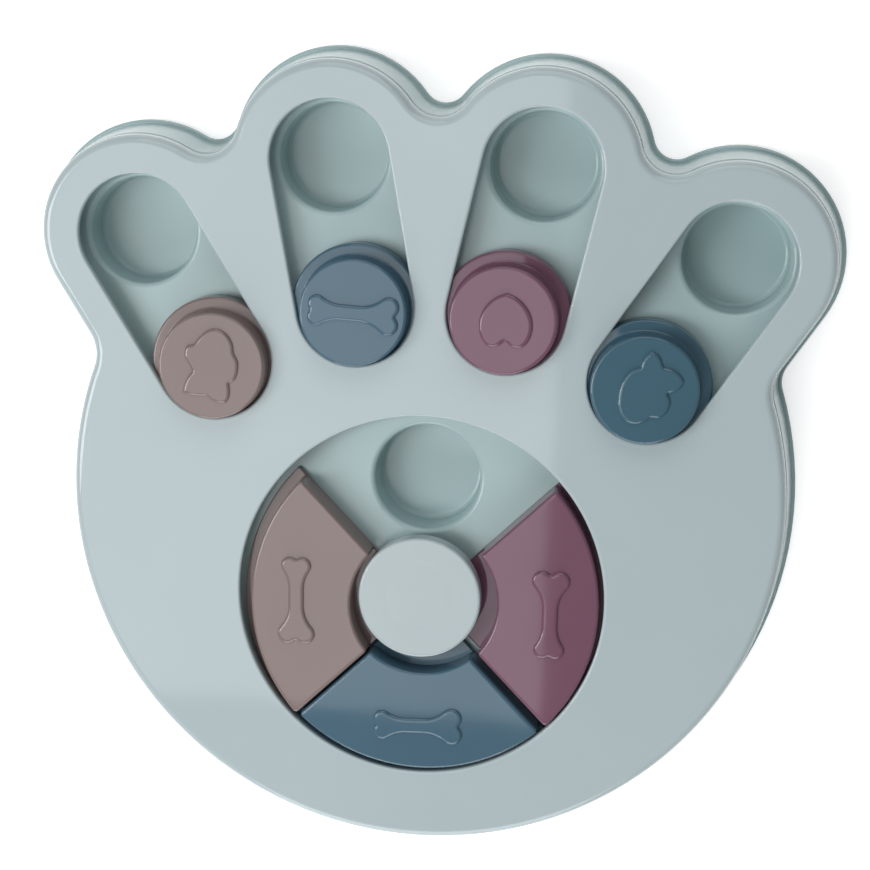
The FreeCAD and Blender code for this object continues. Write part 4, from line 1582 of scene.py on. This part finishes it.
@dataclass
class Screws:
    """Pan-head screws seen from below, with cross recesses and threads."""

    palette: Palette
    pieces: ScrewPieces
    head_radius: float = 2.9
    head_height: float = 1.9
    head_round: float = 0.9
    shank_radius: float = 1.15
    thread_radius: float = 1.16
    thread_tooth: float = 0.24
    thread_pitch: float = 1.1
    thread_start: float = 0.6
    thread_short: float = 1.0
    point: float = 1.2
    recess: Point = (3.2, 0.7, 2.2)
    segments: int = 48

    def profile(self, length: float) -> list[Plan]:
        """Gives a screw's profile from the axis below its head up to its point.

        Args:
            length: Length of the shank above the head.

        Returns:
            Pairs of radius and height, with the head's seat at the head's height.
        """
        line = [(0.0, 0.0)]
        for inset, rise in quarter_round(self.head_round)[::-1]:
            line.append((self.head_radius - inset, self.head_round - rise))
        tip = self.head_height + length
        line += [(self.head_radius, self.head_height), (self.shank_radius, self.head_height),
                 (self.shank_radius, tip - self.point), (0.0, tip)]
        return line

    def build(self, name: str, nodes: Sequence[str]) -> bpy.types.Object:
        """Builds and dresses screws of one length.

        Args:
            name: Name of the piece.
            nodes: CAD screws of that length.

        Returns:
            The screws as one piece.
        """
        places = []
        length = 0.0
        for node in nodes:
            low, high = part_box(node)
            places.append(foot_centre(low, high))
            length = (high.z - low.z) / MM - self.head_height
        drawn = profile_object(name + "_profile", self.profile(length))
        threaded = length - self.point - self.thread_short
        piece = self.pieces.apply(name, places, {
            "Profile": drawn, "Segments": self.segments,
            "Material": self.palette.get(Finish.ZINC),
            "Thread Turns": threaded / self.thread_pitch, "Thread Length": threaded * MM,
            "Thread Radius": self.thread_radius * MM, "Thread Tooth": self.thread_tooth * MM,
            "Thread Start": (self.head_height + self.thread_start) * MM,
            "Recess Size": [side * MM for side in self.recess]})
        bpy.data.objects.remove(drawn)
        return dressed(piece, Finish.ZINC, self.palette, "body", "screw_steel", *nodes)


@dataclass(frozen=True)
class SoftBox:
    """A soft box with its place, the point that it faces and its size in metres, and its watts."""

    name: str
    place: Point
    aim: Point
    size: Plan
    power: float

    def build(self) -> bpy.types.Object:
        """Makes the lamp.

        Returns:
            The lamp.
        """
        data = bpy.data.lights.new(self.name, "AREA")
        data.shape = "RECTANGLE"
        data.size, data.size_y = self.size
        data.energy = self.power
        made = bpy.data.objects.new(self.name, data)
        bpy.context.scene.collection.objects.link(made)
        made.location = self.place
        facing = Vector(self.aim) - Vector(self.place)
        made.rotation_euler = facing.to_track_quat("-Z", "Y").to_euler()
        made.visible_camera = False
        return made


@dataclass
class Studio:
    """Pale floor, plain soft light and the camera at the photograph's viewing angle."""

    floor_size: float = 8.0
    floor_glow: float = 0.55
    fill: float = 0.235
    camera_place: Point = (0.08902, 0.16624, 0.77136)
    camera_turn: Point = (-11.4952, 6.9808, 2.0133)
    lens: float = 89.56
    lamps: tuple[SoftBox, ...] = (
        SoftBox("softbox_left", (-0.40, -0.125, 1.2), (-0.40, -0.125, 0.0), (0.75, 0.75), 3.2),
        SoftBox("softbox_high_left", (-1.0, -0.12, 1.2), (0.0, 0.0, 0.02), (0.5, 0.8), 8.5),
        SoftBox("softbox_near", (-0.1, -1.5, 0.7), (0.0, 0.0, 0.02), (1.2, 1.2), 14.5),
        SoftBox("softbox_far", (0.1, 1.4, 0.9), (0.0, 0.0, 0.02), (1.2, 1.2), 6.9),
    )

    def floor(self) -> bpy.types.Object:
        """Makes the floor, which is white to the camera and in reflections but keeps shadows.

        Returns:
            The floor.
        """
        half = self.floor_size / 2.0
        mesh = bpy.data.meshes.new("studio_floor")
        corners = [(-half, -half, 0), (half, -half, 0), (half, half, 0), (-half, half, 0)]
        mesh.from_pydata(corners, [], [(0, 1, 2, 3)])
        made = bpy.data.objects.new("studio_floor", mesh)
        bpy.context.scene.collection.objects.link(made)
        material, tree = new_material("paper_sweep_white")
        matt = add_node(tree, "ShaderNodeBsdfDiffuse", None, {"Color": linear("F4F4F4")})
        glow = add_node(tree, "ShaderNodeEmission", None, {"Strength": self.floor_glow})
        bright = add_node(tree, "ShaderNodeAddShader", None, {
            0: matt.outputs[0], 1: glow.outputs[0]})
        seen = self.seen_directly(tree, mirrored=True)
        mixed = add_node(tree, "ShaderNodeMixShader", None, {
            0: seen, 1: matt.outputs[0], 2: bright.outputs[0]})
        add_node(tree, "ShaderNodeOutputMaterial", None, {"Surface": mixed.outputs[0]})
        mesh.materials.append(material)
        return made

    def seen_directly(self, tree: bpy.types.NodeTree,
                      mirrored: bool = False) -> bpy.types.NodeSocket:
        """Adds nodes that tell rays that look at the surroundings from light on the object.

        Args:
            tree: Tree of the floor or world.
            mirrored: Whether mirror rays count too.

        Returns:
            Socket that is 1 for those rays.
        """
        rays = add_node(tree, "ShaderNodeLightPath")
        seen = add_node(tree, "ShaderNodeMath", {"operation": "MAXIMUM"}, {
            0: rays.outputs["Is Camera Ray"], 1: rays.outputs["Is Transmission Ray"]})
        if mirrored:
            seen = add_node(tree, "ShaderNodeMath", {"operation": "MAXIMUM"}, {
                0: seen.outputs[0], 1: rays.outputs["Is Glossy Ray"]})
        return seen.outputs[0]

    def world(self) -> None:
        """Makes the plain grey surround that fills the shadows."""
        world = bpy.data.worlds.new("studio_surround")
        world.use_nodes = True
        tree = world.node_tree
        tree.nodes.clear()
        fill = add_node(tree, "ShaderNodeBackground", None, {
            "Color": linear("F6F8FA"), "Strength": self.fill})
        white = add_node(tree, "ShaderNodeBackground", None, {
            "Color": linear("FFFFFF"), "Strength": 1.0})
        mixed = add_node(tree, "ShaderNodeMixShader", None, {
            0: self.seen_directly(tree), 1: fill.outputs[0], 2: white.outputs[0]})
        add_node(tree, "ShaderNodeOutputWorld", None, {"Surface": mixed.outputs[0]})
        bpy.context.scene.world = world

    def camera(self) -> bpy.types.Object:
        """Makes the camera.

        Returns:
            The camera.
        """
        data = bpy.data.cameras.new("photo_view")
        data.lens = self.lens
        made = bpy.data.objects.new("photo_view", data)
        bpy.context.scene.collection.objects.link(made)
        made.location = self.camera_place
        made.rotation_euler = [math.radians(turn) for turn in self.camera_turn]
        bpy.context.scene.camera = made
        return made

    def build(self) -> None:
        """Sets the whole studio up."""
        self.floor()
        self.world()
        for lamp in self.lamps:
            lamp.build()
        self.camera()
        bpy.context.scene.view_settings.view_transform = "Standard"


def main() -> None:
    """Builds the feeder's pieces in order and reports each."""
    logging.basicConfig(level=logging.INFO, format="%(name)s: %(message)s")
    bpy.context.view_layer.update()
    hub_low, hub_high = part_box("hub_cap")
    axis = (hub_low + hub_high) / 2.0
    palette = Palette()
    turned = LathedPieces()
    screws = Screws(palette, ScrewPieces())
    builders: list[Any] = [
        TopCover(axis, palette),
        BaseTray(palette),
        HubCap(axis, palette, turned),
        ToeSlider(Toe.OUTER_LEFT, Motif.DOG_HEAD, Finish.TAUPE, "taupe_plastic", axis, palette),
        ToeSlider(Toe.INNER_LEFT, Motif.BONE, Finish.SLATE, "slate_plastic", axis, palette,
                  motif_turn=-2.4),
        ToeSlider(Toe.INNER_RIGHT, Motif.HEART, Finish.PLUM, "plum_plastic", axis, palette),
        ToeSlider(Toe.OUTER_RIGHT, Motif.BERRY, Finish.DEEP_SLATE, "deep_slate_plastic", axis,
                  palette),
        WheelLid("left", 180.0, (2.9, -3.2), Finish.TAUPE, "taupe_plastic", axis, palette,
                 bone_turn=1.3, bone_shift=(0.0, -0.5)),
        WheelLid("heel", 270.0, (1.0, -0.1), Finish.SLATE, "slate_plastic", axis, palette,
                 bone_turn=2.4, bone_shift=(-0.3, -0.2)),
        WheelLid("right", 0.0, (0.1, -1.4), Finish.PLUM, "plum_plastic", axis, palette,
                 bone_turn=0.6, bone_shift=(-0.7, -1.9)),
        RubberFeet(palette, turned),
    ]
    made = [builder.build() for builder in builders]
    cover_screws = sorted(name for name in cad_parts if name.startswith("cover_screw_"))
    made.append(screws.build("cover_screws", cover_screws))
    made.append(screws.build("hub_screw_below", ["hub_screw"]))
    for piece in made:
        log.info("%s: %d faces", piece.name, len(piece.data.polygons))
    Studio().build()


if __name__ == "__main__":
    main()
